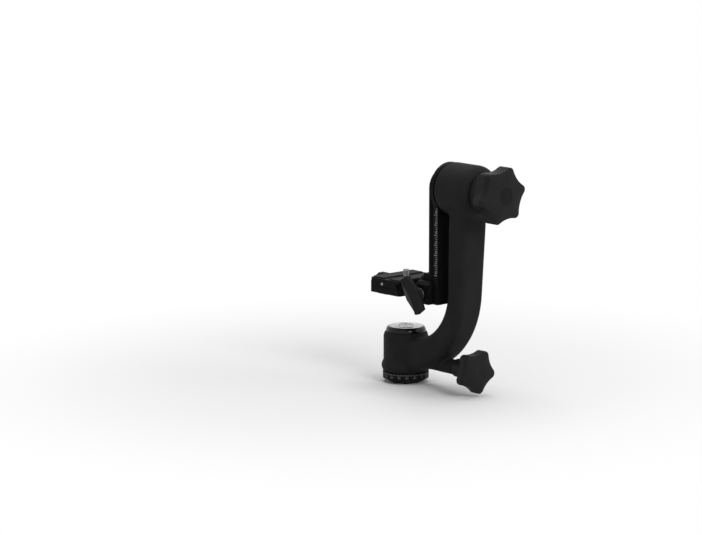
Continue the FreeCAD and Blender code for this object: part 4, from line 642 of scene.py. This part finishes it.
# A moulded knob: collar from Z 0, lobed grip above it, crowned face with a sunk inlay.
def knobMesh(name, look, collar):
    outline = lobedOutline(look)
    shape = bmesh.new()

    def lobedRing(inset, height):
        return [shape.verts.new((mm(x - nx * inset), mm(y - ny * inset), mm(height)))
                for x, y, nx, ny in outline]

    # Between the lobed outline and a circle.
    def mixedRing(inset, radius, share, height):
        ringVerts = []
        for x, y, nx, ny in outline:
            turn = math.atan2(y, x)
            px = (x - nx * inset) * (1 - share) + radius * math.cos(turn) * share
            py = (y - ny * inset) * (1 - share) + radius * math.sin(turn) * share
            ringVerts.append(shape.verts.new((mm(px), mm(py), mm(height))))
        return ringVerts

    top = collar + look["thickness"]
    edge = look["edge"]
    trim = knobTrim
    boreEnd = collar * trim["boreShare"] + trim["boreRise"]
    rings = [mixedRing(0, look["bore"], 1, boreEnd), mixedRing(0, look["bore"], 1, 0),
             mixedRing(0, look["collarBack"] - trim["collarEdge"], 1, 0),
             mixedRing(0, look["collarBack"], 1, trim["collarEdge"]),
             mixedRing(0, look["collarFront"], 1, collar - trim["collarStep"]),
             mixedRing(edge, look["collarFront"], trim["neckShare"], collar)]
    for step in range(5):
        turn = math.radians(90 * step / 4)
        rings.append(lobedRing(edge * (1 - math.sin(turn)), collar + edge * (1 - math.cos(turn))))
    parting = collar + look["thickness"] * 0.5
    rings.append(lobedRing(0, parting - trim["partingHalf"]))
    rings.append(lobedRing(-trim["partingProud"], parting))
    rings.append(lobedRing(0, parting + trim["partingHalf"]))
    crown = look["crown"]
    for step in range(7):
        turn = math.radians(90 * step / 6)
        rings.append(lobedRing(edge * (1 - math.cos(turn)),
                               top - crown - edge * (1 - math.sin(turn))))
    for step in range(1, 6):
        share = step / 6
        rings.append(mixedRing(edge, look["inlay"] + trim["crownRim"], share,
                               top - crown * (1 - share) ** trim["crownPower"]))
    inlay, dish = look["inlay"], look["dish"]
    for radius, depth in ((inlay + trim["inlayRim"], 0), (inlay + trim["inlayLip"], 0.3), (inlay, 1),
                          (inlay - trim["inlaySlope"], 0.95), (inlay * 0.5, 0.7)):
        rings.append(mixedRing(0, radius, 1, top - dish * depth))
    joinRows(shape, rings)
    for ringVerts, height in ((rings[0], boreEnd), (rings[-1], top - dish * 0.6)):
        joinRings(shape, ringVerts, [shape.verts.new((0, 0, mm(height)))])
    mesh = finishShape(shape, name)
    mesh.materials.append(materials["knobRubber"])
    mesh.materials.append(materials[look["centre"]])
    for polygon in mesh.polygons:
        centre = polygon.center * 1000
        if centre.z > top - dish * 1.1 and math.hypot(centre.x, centre.y) < inlay:
            polygon.material_index = 1
    smoothShade(mesh, 42)
    return mesh


def buildKnobs():
    for node, look, height in (("tilt_knob", tiltKnobLook, tiltHeight),
                               ("pan_knob", panKnobLook, panLockHeight)):
        low, high = nodeBox(node)
        collar = high.x - low.x - look["thickness"]
        mesh = knobMesh(node + "_grip", look, collar)
        mesh.transform(Matrix.Translation((mm(low.x), 0, mm(height))) @ layAlongX)
        newPiece(node + "_grip", mesh, nodeBodies[node], None, (node,))


# Engraved scales: one Geometry Nodes tree repeats a mark along a line or round an axis

def makeMarksTree():
    tree = bpy.data.node_groups.new("repeatMarks", "GeometryNodeTree")
    tree.interface.new_socket("Geometry", in_out="INPUT", socket_type="NodeSocketGeometry")
    for label, kind, value in (("Count", "NodeSocketInt", 10), ("Turn", "NodeSocketFloat", 0.0),
                               ("Step", "NodeSocketVector", (0, 0, 0)),
                               ("Start", "NodeSocketVector", (0, 0, 0)),
                               ("Mark Size", "NodeSocketVector", (0.001, 0.001, 0.001)),
                               ("Mark Place", "NodeSocketVector", (0, 0, 0)),
                               ("Every", "NodeSocketInt", 5),
                               ("Long Scale", "NodeSocketVector", (1, 1, 1)),
                               ("Material", "NodeSocketMaterial", None)):
        socket = tree.interface.new_socket(label, in_out="INPUT", socket_type=kind)
        if value is not None:
            socket.default_value = value
    tree.interface.new_socket("Geometry", in_out="OUTPUT", socket_type="NodeSocketGeometry")
    given = tree.nodes.new("NodeGroupInput")
    result = tree.nodes.new("NodeGroupOutput")
    link = tree.links.new
    index = tree.nodes.new("GeometryNodeInputIndex")
    along = addNode(tree, "ShaderNodeVectorMath", operation="SCALE")
    link(given.outputs["Step"], along.inputs[0])
    link(index.outputs[0], along.inputs["Scale"])
    placed = addNode(tree, "ShaderNodeVectorMath", operation="ADD")
    link(along.outputs[0], placed.inputs[0])
    link(given.outputs["Start"], placed.inputs[1])
    points = tree.nodes.new("GeometryNodePoints")
    link(given.outputs["Count"], points.inputs["Count"])
    link(placed.outputs[0], points.inputs["Position"])
    mark = tree.nodes.new("GeometryNodeMeshCube")
    link(given.outputs["Mark Size"], mark.inputs["Size"])
    shift = tree.nodes.new("GeometryNodeTransform")
    link(mark.outputs["Mesh"], shift.inputs["Geometry"])
    link(given.outputs["Mark Place"], shift.inputs["Translation"])
    turn = tree.nodes.new("ShaderNodeCombineXYZ")
    link(mathNode(tree, "MULTIPLY", index.outputs[0], given.outputs["Turn"]), turn.inputs["Z"])
    remainder = mathNode(tree, "MODULO", index.outputs[0], given.outputs["Every"])
    size = addNode(tree, "ShaderNodeMix", data_type="VECTOR")
    link(mathNode(tree, "LESS_THAN", remainder, 0.5), size.inputs["Factor"])
    size.inputs[4].default_value = (1, 1, 1)
    link(given.outputs["Long Scale"], size.inputs[5])
    instances = tree.nodes.new("GeometryNodeInstanceOnPoints")
    link(points.outputs[0], instances.inputs["Points"])
    link(shift.outputs[0], instances.inputs["Instance"])
    link(turn.outputs[0], instances.inputs["Rotation"])
    link(size.outputs[1], instances.inputs["Scale"])
    realized = tree.nodes.new("GeometryNodeRealizeInstances")
    link(instances.outputs[0], realized.inputs[0])
    painted = tree.nodes.new("GeometryNodeSetMaterial")
    link(realized.outputs[0], painted.inputs["Geometry"])
    link(given.outputs["Material"], painted.inputs["Material"])
    link(painted.outputs[0], result.inputs[0])
    return tree


marksTree = makeMarksTree()


# Run the marks tree with these inputs and return a plain mesh.
def marksMesh(name, look, values):
    carrier = placeObject(name + "_carrier", bpy.data.meshes.new(name + "_carrier"))
    modifier = carrier.modifiers.new("marks", "NODES")
    modifier.node_group = marksTree
    identifiers = {item.name: item.identifier for item in marksTree.interface.items_tree
                   if item.in_out == "INPUT"}
    for label, value in values.items():
        modifier[identifiers[label]] = value
    modifier[identifiers["Material"]] = materials[look]
    mesh = applyModifiers(carrier)
    bpy.data.objects.remove(carrier)
    return mesh


# One mesh from several, with their materials kept.
def joinMeshes(name, meshes):
    joined = bmesh.new()
    slots = []
    for mesh in meshes:
        for material in mesh.materials:
            if material not in slots:
                slots.append(material)
    for mesh in meshes:
        part = bmesh.new()
        part.from_mesh(mesh)
        copies = {}
        for vert in part.verts:
            copies[vert] = joined.verts.new(vert.co)
        for face in part.faces:
            made = joined.faces.new([copies[vert] for vert in face.verts])
            made.smooth = face.smooth
            source = mesh.materials[face.material_index] if len(mesh.materials) else None
            made.material_index = slots.index(source) if source in slots else 0
        part.free()
    result = bpy.data.meshes.new(name)
    joined.to_mesh(result)
    joined.free()
    for material in slots:
        result.materials.append(material)
    return result


# A plain number as a thin mesh, centred on its origin, size in millimetres.
def numberMesh(text, size, depth):
    curve = bpy.data.curves.new("number", "FONT")
    curve.body = text
    curve.size = mm(size)
    curve.align_x = "CENTER"
    curve.align_y = "CENTER"
    curve.extrude = mm(depth)
    curve.resolution_u = 2
    carrier = placeObject("number_carrier", curve)
    bpy.context.view_layer.update()
    mesh = bpy.data.meshes.new_from_object(
        carrier.evaluated_get(bpy.context.evaluated_depsgraph_get()))
    bpy.data.objects.remove(carrier)
    return mesh


ringLook = {"marks": 90, "width": 0.34, "tall": 1.5, "longTall": 1.5, "numberStep": 20,
            "numberSize": 2.3, "numberRise": 2.6, "proud": 0.05, "topGap": 0.35}


def buildDegreeRing():
    low, high = nodeBox("degree_ring")
    radius = high.x
    bevelledPiece("degree_ring", 0.25)
    top = high.z - ringLook["topGap"]
    ticks = marksMesh("ringTicks", "markGrey", {
        "Count": ringLook["marks"], "Turn": 2 * math.pi / ringLook["marks"],
        "Mark Size": (mm(0.3), mm(ringLook["width"]), mm(ringLook["tall"])),
        "Mark Place": (mm(radius + ringLook["proud"] - 0.15), 0, mm(-ringLook["tall"] / 2)),
        "Start": (0, 0, mm(top)), "Every": 5, "Long Scale": (1, 1.25, ringLook["longTall"])})
    meshes = [ticks]
    for degrees in range(0, 360, ringLook["numberStep"]):
        number = numberMesh(str(degrees), ringLook["numberSize"], 0.1)
        centre = math.radians(degrees)
        for vertex in number.vertices:
            turn = centre + vertex.co.x / mm(radius)
            out = mm(radius + ringLook["proud"] - 0.1) + vertex.co.z
            vertex.co = Vector((out * math.cos(turn), out * math.sin(turn),
                                vertex.co.y + mm(low.z + ringLook["numberRise"])))
        paint(number, "markGrey")
        meshes.append(number)
    newPiece("ring_marks", joinMeshes("ring_marks", meshes), "base", None)


railLook = {"halfWidth": 19.0, "marks": 34, "step": 2.0, "start": 117.5, "width": 0.4,
            "short": 2.6, "long": 1.7, "numberSize": 3.6, "edgeGap": 0.6}


def buildRailScale():
    high = nodeBox("swing_rail")[1]
    face = -railLook["halfWidth"]
    back = high.x - railLook["edgeGap"]
    ticks = marksMesh("railTicks", "scaleWhite", {
        "Count": railLook["marks"], "Step": (0, 0, mm(railLook["step"])),
        "Start": (mm(back), mm(face), mm(railLook["start"])),
        "Mark Size": (mm(railLook["short"]), mm(0.1), mm(railLook["width"])),
        "Mark Place": (mm(-railLook["short"] / 2), 0, 0), "Every": 5,
        "Long Scale": (railLook["long"], 1, 1.2)})
    meshes = [ticks]
    for number in range(0, 7):
        text = numberMesh(str(number), railLook["numberSize"], 0.05)
        z = railLook["start"] + railLook["step"] * 5 * number + 2.6
        text.transform(Matrix.Translation((mm(back - 2.2), mm(face), mm(z)))
                       @ Matrix.Rotation(math.radians(90), 4, "X"))
        paint(text, "scaleWhite")
        meshes.append(text)
    newPiece("rail_scale", joinMeshes("rail_scale", meshes), "cradle", None)


# Polished lid: an upright edge, a rounded black bevel and a satin top with one turned line. The top's
# pale grey is a painted reflection.
def buildCap():
    low, high = nodeBox("hub_cap")
    well = nodeBox("level_vial")[0].z
    seat = nodeBox("level_bezel")[1].x
    look = capLook
    outer, top = high.x, high.z
    flange = low.z + look["skirtHeight"]
    bend, width, line = look["bevelHeight"], look["bevelWidth"], seat + look["ringLine"]
    profile = [(look["hollow"], low.z), (look["skirt"], low.z), (look["skirt"], flange),
               (outer - look["flangeEdge"], flange), (outer, flange + look["flangeEdge"])]
    for step in range(13):
        turn = math.radians(90 * step / 12)
        profile.append((outer - width + width * math.cos(turn), top - bend + bend * math.sin(turn)))
    brim, foot, groove = look["lineTop"], look["lineFloor"], top - look["lineDepth"]
    profile += [(line + brim, top), (line + foot, groove), (line - foot, groove), (line - brim, top),
                (seat, top), (seat, well), (0, well), (0, well - look["floor"]),
                (look["hollow"], well - look["floor"])]
    newPiece("polished_lid", latheMesh("polished_lid", profile), "arm",
             "polishedCap", ("hub_cap",))


levelLook = {"fill": 4.0, "lensEdge": 0.6, "lensRise": (0.05, 0.25, 0.3), "poolGap": 0.05,
             "bubbleGap": 0.04, "bubbleSink": 1.0, "bubbleRadius": 2.4, "bubbleFrom": 24,
             "bubblePlace": (0.5, -0.4), "circle": (3.4, 3.7), "circleRise": (0.02, 0.1)}


# Round level: a low glass dome, the pool under it, a bubble and its circle.
def buildLevel():
    look = levelLook
    vialLow, vialHigh = nodeBox("level_vial")
    vial = vialHigh.x
    surface = vialLow.z + look["fill"]
    rim, slope, crown = look["lensRise"]
    dome = [(0, surface), (vial * 0.98, surface), (vial, surface + look["lensEdge"]),
            (vial * 0.8, vialHigh.z + rim), (vial * 0.4, vialHigh.z + slope), (0, vialHigh.z + crown)]
    newPiece("vial_lens", latheMesh("vial_lens", dome, 72), "arm", "vialGlass",
             ("level_vial",))
    pool = surface - look["poolGap"]
    fluid = [(0, vialLow.z), (vial, vialLow.z), (vial, pool), (0, pool)]
    newPiece("level_pool", latheMesh("level_pool", fluid, 72), "arm", "vialFluid",
             ("level_fluid",))
    bubble = [(0, surface - look["bubbleGap"])]
    bubble += arcPoints((0, surface - look["bubbleSink"]), look["bubbleRadius"],
                        look["bubbleFrom"], 90, 8)
    bubbleMesh = latheMesh("level_bubble", bubble, 48)
    across, along = look["bubblePlace"]
    bubbleMesh.transform(Matrix.Translation((mm(across), mm(along), 0)))
    newPiece("level_bubble", bubbleMesh, "arm", "bubbleWhite")
    inner, outer = look["circle"]
    foot, brow = (surface + rise for rise in look["circleRise"])
    circle = [(inner, foot), (outer, foot), (outer, brow), (inner, brow)]
    newPiece("level_circle", latheMesh("level_circle", circle, 72), "arm",
             "blackSteel")
    bevelledPiece("level_bezel", 0.2)


wingLook = {"halfSpan": 19.0, "rootHalf": 8.6, "tipHalf": 5.2, "thick": 8.0, "hub": 7.0,
            "hubLength": 8.0, "frontHub": 7.0, "tilt": 53.5, "shoulder": 0.12, "edge": 0.8,
            "ridgeShift": 0.7, "liftShare": 0.1, "bore": 2.5, "hubEdge": 0.4, "footHeight": 1.6,
            "neckDepth": 0.6, "neckHeight": 2.4}


# Ease a mesh's hard edges by a bevel of this width.
def easeMesh(mesh, width, fromAngle):
    carrier = placeObject("ease_carrier", mesh)
    addBevel(carrier, width, fromAngle)
    eased = applyModifiers(carrier)
    bpy.data.objects.remove(carrier)
    return eased


# One tapered blade pair: flat back, upright sides and two facets that meet in a bowed ridge.
def wingBladeMesh(look):
    shape = bmesh.new()
    rings = []
    stations = 28
    middle = look["hubLength"] + look["thick"] * look["liftShare"]
    for station in range(stations + 1):
        share = math.cos(math.pi * station / stations)
        reach = abs(share)
        half = look["rootHalf"] + (look["tipHalf"] - look["rootHalf"]) * reach
        back, shoulder, front = -look["thick"] / 2, look["thick"] * look["shoulder"], look["thick"] / 2
        ridge = -half * look["ridgeShift"] * reach ** 2
        section = [(-half, back), (half, back), (half, shoulder), (ridge, front), (-half, shoulder)]
        rings.append([shape.verts.new((mm(look["halfSpan"] * share), mm(px), mm(middle + pz)))
                      for px, pz in section])
    joinRows(shape, rings)
    shape.faces.new(rings[0])
    shape.faces.new(rings[-1])
    mesh = easeMesh(finishShape(shape, "wing_blades"), look["edge"], 20)
    smoothShade(mesh, 30)
    paint(mesh, "knobRubber")
    return mesh


def buildWing():
    look = wingLook
    low, high = nodeBox("height_stud")
    centre = Vector(((low.x + high.x) / 2, nodeBox("height_wing")[1].y, (low.z + high.z) / 2))
    bore, reach, edge = look["bore"], look["hub"], look["hubEdge"]
    hub = latheMesh("wing_hub", [
        (bore, 0), (reach - edge, 0), (reach, edge), (reach, look["footHeight"]),
        (reach - look["neckDepth"], look["neckHeight"]), (look["frontHub"], look["hubLength"]),
        (bore, look["hubLength"])], 64)
    paint(hub, "knobRubber")
    mesh = joinMeshes("wing_grip", [wingBladeMesh(look), hub])
    tilted = Matrix.Rotation(math.radians(-look["tilt"]), 4, "Z")
    lay = Matrix.Rotation(math.radians(90), 4, "X") @ tilted
    mesh.transform(Matrix.Translation(centre * 0.001) @ lay)
    newPiece("wing_grip", mesh, "height_wing", None, ("height_wing",))


screwLook = {"head": 7.2, "headHeight": 2.8, "neck": 2.6, "thread": 3.175, "pitch": 1.27, "gap": 0.3,
             "depth": 0.55, "runOut": 0.8, "steps": 28, "slicesPerTurn": 8}


# A round bar with a helical V thread, along Z from 0, in millimetres.
def threadMesh(radius, pitch, length):
    depth, steps, runOut = screwLook["depth"], screwLook["steps"], screwLook["runOut"]
    shape = bmesh.new()
    rows = []
    slices = int(length / pitch * screwLook["slicesPerTurn"])
    for row in range(slices + 1):
        z = length * row / slices
        ringVerts = []
        for step in range(steps):
            turn = 2 * math.pi * step / steps
            phase = (z / pitch - step / steps) % 1.0
            r = radius - depth * abs(2 * phase - 1)
            fade = min(1.0, (length - z) / runOut)
            r = min(r, radius - depth * (1 - fade))
            ringVerts.append(shape.verts.new((mm(r) * math.cos(turn), mm(r) * math.sin(turn), mm(z))))
        rows.append(ringVerts)
    joinRows(shape, rows)
    joinRings(shape, [shape.verts.new((0, 0, 0))], rows[0])
    joinRings(shape, rows[-1], [shape.verts.new((0, 0, mm(length)))])
    mesh = finishShape(shape, "thread")
    smoothShade(mesh, 25)
    paint(mesh, "steel")
    return mesh


def buildCameraScrew():
    low, high = nodeBox("camera_screw")
    look = screwLook
    start = nodeBox("quick_plate")[1].z + look["gap"]
    head = latheMesh("screw_head", [
        (0, low.z), (look["head"] - 0.3, low.z), (look["head"], low.z + 0.3),
        (look["head"], low.z + look["headHeight"] - 0.3),
        (look["head"] - 0.3, low.z + look["headHeight"]), (look["neck"], low.z + look["headHeight"]),
        (look["neck"], start + 0.1), (0, start + 0.1)], 64)
    paint(head, "steel")
    thread = threadMesh(look["thread"], look["pitch"], high.z - start)
    thread.transform(Matrix.Translation((0, 0, mm(start))))
    newPiece("camera_thread", joinMeshes("camera_thread", [head, thread]), "camera_screw",
             None, ("camera_screw",))


floorLook = {"size": 6.0, "colour": 0.88, "roughness": 0.9, "specular": 0.1,
             "shadeEnd": 0.12, "whiteStart": 0.5}


# How much of a ray came from the camera, a mirror or glass: 1 or 0.
def seenRay(tree):
    path = tree.nodes.new("ShaderNodeLightPath")
    direct = mathNode(tree, "MAXIMUM", path.outputs["Is Camera Ray"], path.outputs["Is Glossy Ray"])
    return mathNode(tree, "MAXIMUM", direct, path.outputs["Is Transmission Ray"])


# A pale floor that takes the shadow near the object and is plain white further out.
def buildStage():
    look = floorLook
    floorMesh = bpy.data.meshes.new("floor")
    shape = bmesh.new()
    bmesh.ops.create_grid(shape, x_segments=1, y_segments=1, size=look["size"])
    shape.to_mesh(floorMesh)
    shape.free()
    floor = placeObject("floor", floorMesh)
    material = bpy.data.materials.new("paleFloor")
    material.use_nodes = True
    tree = material.node_tree
    shader = tree.nodes["Principled BSDF"]
    shader.inputs["Base Color"].default_value = grey(look["colour"])
    shader.inputs["Roughness"].default_value = look["roughness"]
    shader.inputs["Specular IOR Level"].default_value = look["specular"]
    away = addNode(tree, "ShaderNodeVectorMath", operation="LENGTH")
    feed(tree, objectPlace(tree), away.inputs[0])
    mask = mapRange(tree, away.outputs["Value"], look["shadeEnd"], look["whiteStart"],
                    interpolation_type="SMOOTHSTEP")
    share = mathNode(tree, "MULTIPLY", mask, seenRay(tree))
    white = addNode(tree, "ShaderNodeEmission", Color=(1, 1, 1, 1), Strength=1.0)
    mix = tree.nodes.new("ShaderNodeMixShader")
    feed(tree, share, mix.inputs[0])
    feed(tree, shader.outputs[0], mix.inputs[1])
    feed(tree, white.outputs[0], mix.inputs[2])
    feed(tree, mix.outputs[0], tree.nodes["Material Output"].inputs["Surface"])
    floorMesh.materials.append(material)


lampLook = {
    "world": 0.42, "aim": (0.03, 0, 0.12),
    "key": {"place": (1.9, -0.35, 1.25), "size": 1.0, "watts": 20.0},
    "top": {"place": (-0.2, 0.3, 1.9), "size": 1.5, "watts": 15.0},
    "rim": {"place": (1.6, 0.9, 1.0), "size": 0.9, "watts": 4.0},
}


def buildLamps():
    world = bpy.data.worlds.new("studio")
    bpy.context.scene.world = world
    world.use_nodes = True
    tree = world.node_tree
    tree.nodes.clear()
    output = tree.nodes.new("ShaderNodeOutputWorld")
    plain = addNode(tree, "ShaderNodeBackground", Color=(1, 1, 1, 1), Strength=lampLook["world"])
    white = addNode(tree, "ShaderNodeBackground", Color=(1, 1, 1, 1), Strength=1.0)
    mix = tree.nodes.new("ShaderNodeMixShader")
    feed(tree, seenRay(tree), mix.inputs[0])
    feed(tree, plain.outputs[0], mix.inputs[1])
    feed(tree, white.outputs[0], mix.inputs[2])
    feed(tree, mix.outputs[0], output.inputs["Surface"])
    target = Vector(lampLook["aim"])
    for name in ("key", "top", "rim"):
        look = lampLook[name]
        light = bpy.data.lights.new(name, "AREA")
        light.shape = "DISK"
        light.size = look["size"]
        light.energy = look["watts"]
        lamp = placeObject(name, light)
        lamp.location = look["place"]
        lamp.rotation_euler = (target - Vector(look["place"])).to_track_quat("-Z", "Y").to_euler()


photoLook = {
    "width": 702, "height": 535,
    "azimuth": 48.5, "elevation": 9.95,
    "distance": 3.27, "focalPixels": 3270.0,
    "originPixel": (405.8, 380.9), "clipEnd": 50,
}


# The photo's camera: its pose follows from the pixel that shows the base's centre.
def buildCamera():
    look = photoLook
    azimuth, elevation = math.radians(look["azimuth"]), math.radians(look["elevation"])
    back = Vector((math.sin(azimuth) * math.cos(elevation), -math.cos(azimuth) * math.cos(elevation),
                   math.sin(elevation)))
    right = Vector((math.cos(azimuth), math.sin(azimuth), 0))
    up = back.cross(right)
    perPixel = look["distance"] / look["focalPixels"]
    sideways = (look["originPixel"][0] - look["width"] / 2) * perPixel
    upwards = (look["height"] / 2 - look["originPixel"][1]) * perPixel
    camera = placeObject("camera", bpy.data.cameras.new("camera"))
    camera.data.lens = camera.data.sensor_width * look["focalPixels"] / look["width"]
    camera.data.clip_end = look["clipEnd"]
    camera.location = back * look["distance"] - right * sideways - up * upwards
    camera.rotation_euler = back.to_track_quat("Z", "Y").to_euler()
    bpy.context.scene.camera = camera


bpy.context.scene.view_settings.view_transform = "Standard"
buildCamera()
buildLamps()
buildStage()
print("camera, lamps and floor made")
buildArm()
buildKnobs()
print("casting and knobs made")
buildDegreeRing()
buildRailScale()
buildCap()
buildLevel()
print("scales and level made")
buildWing()
buildCameraScrew()
for nodeName, width in (("swing_rail", 0.35), ("platform_bracket", 0.4), ("rail_jaw", 0.4),
                        ("clamp_base", 0.4), ("clamp_jaw", 0.4), ("quick_plate", 0.3),
                        ("base_plate", 0.3), ("tilt_friction_washer", 0.1), ("wing_washer", 0.15),
                        ("plate_pad", 0.3), ("clamp_knob", 0.35)):
    bevelledPiece(nodeName, width)
print("platform and clamp made")
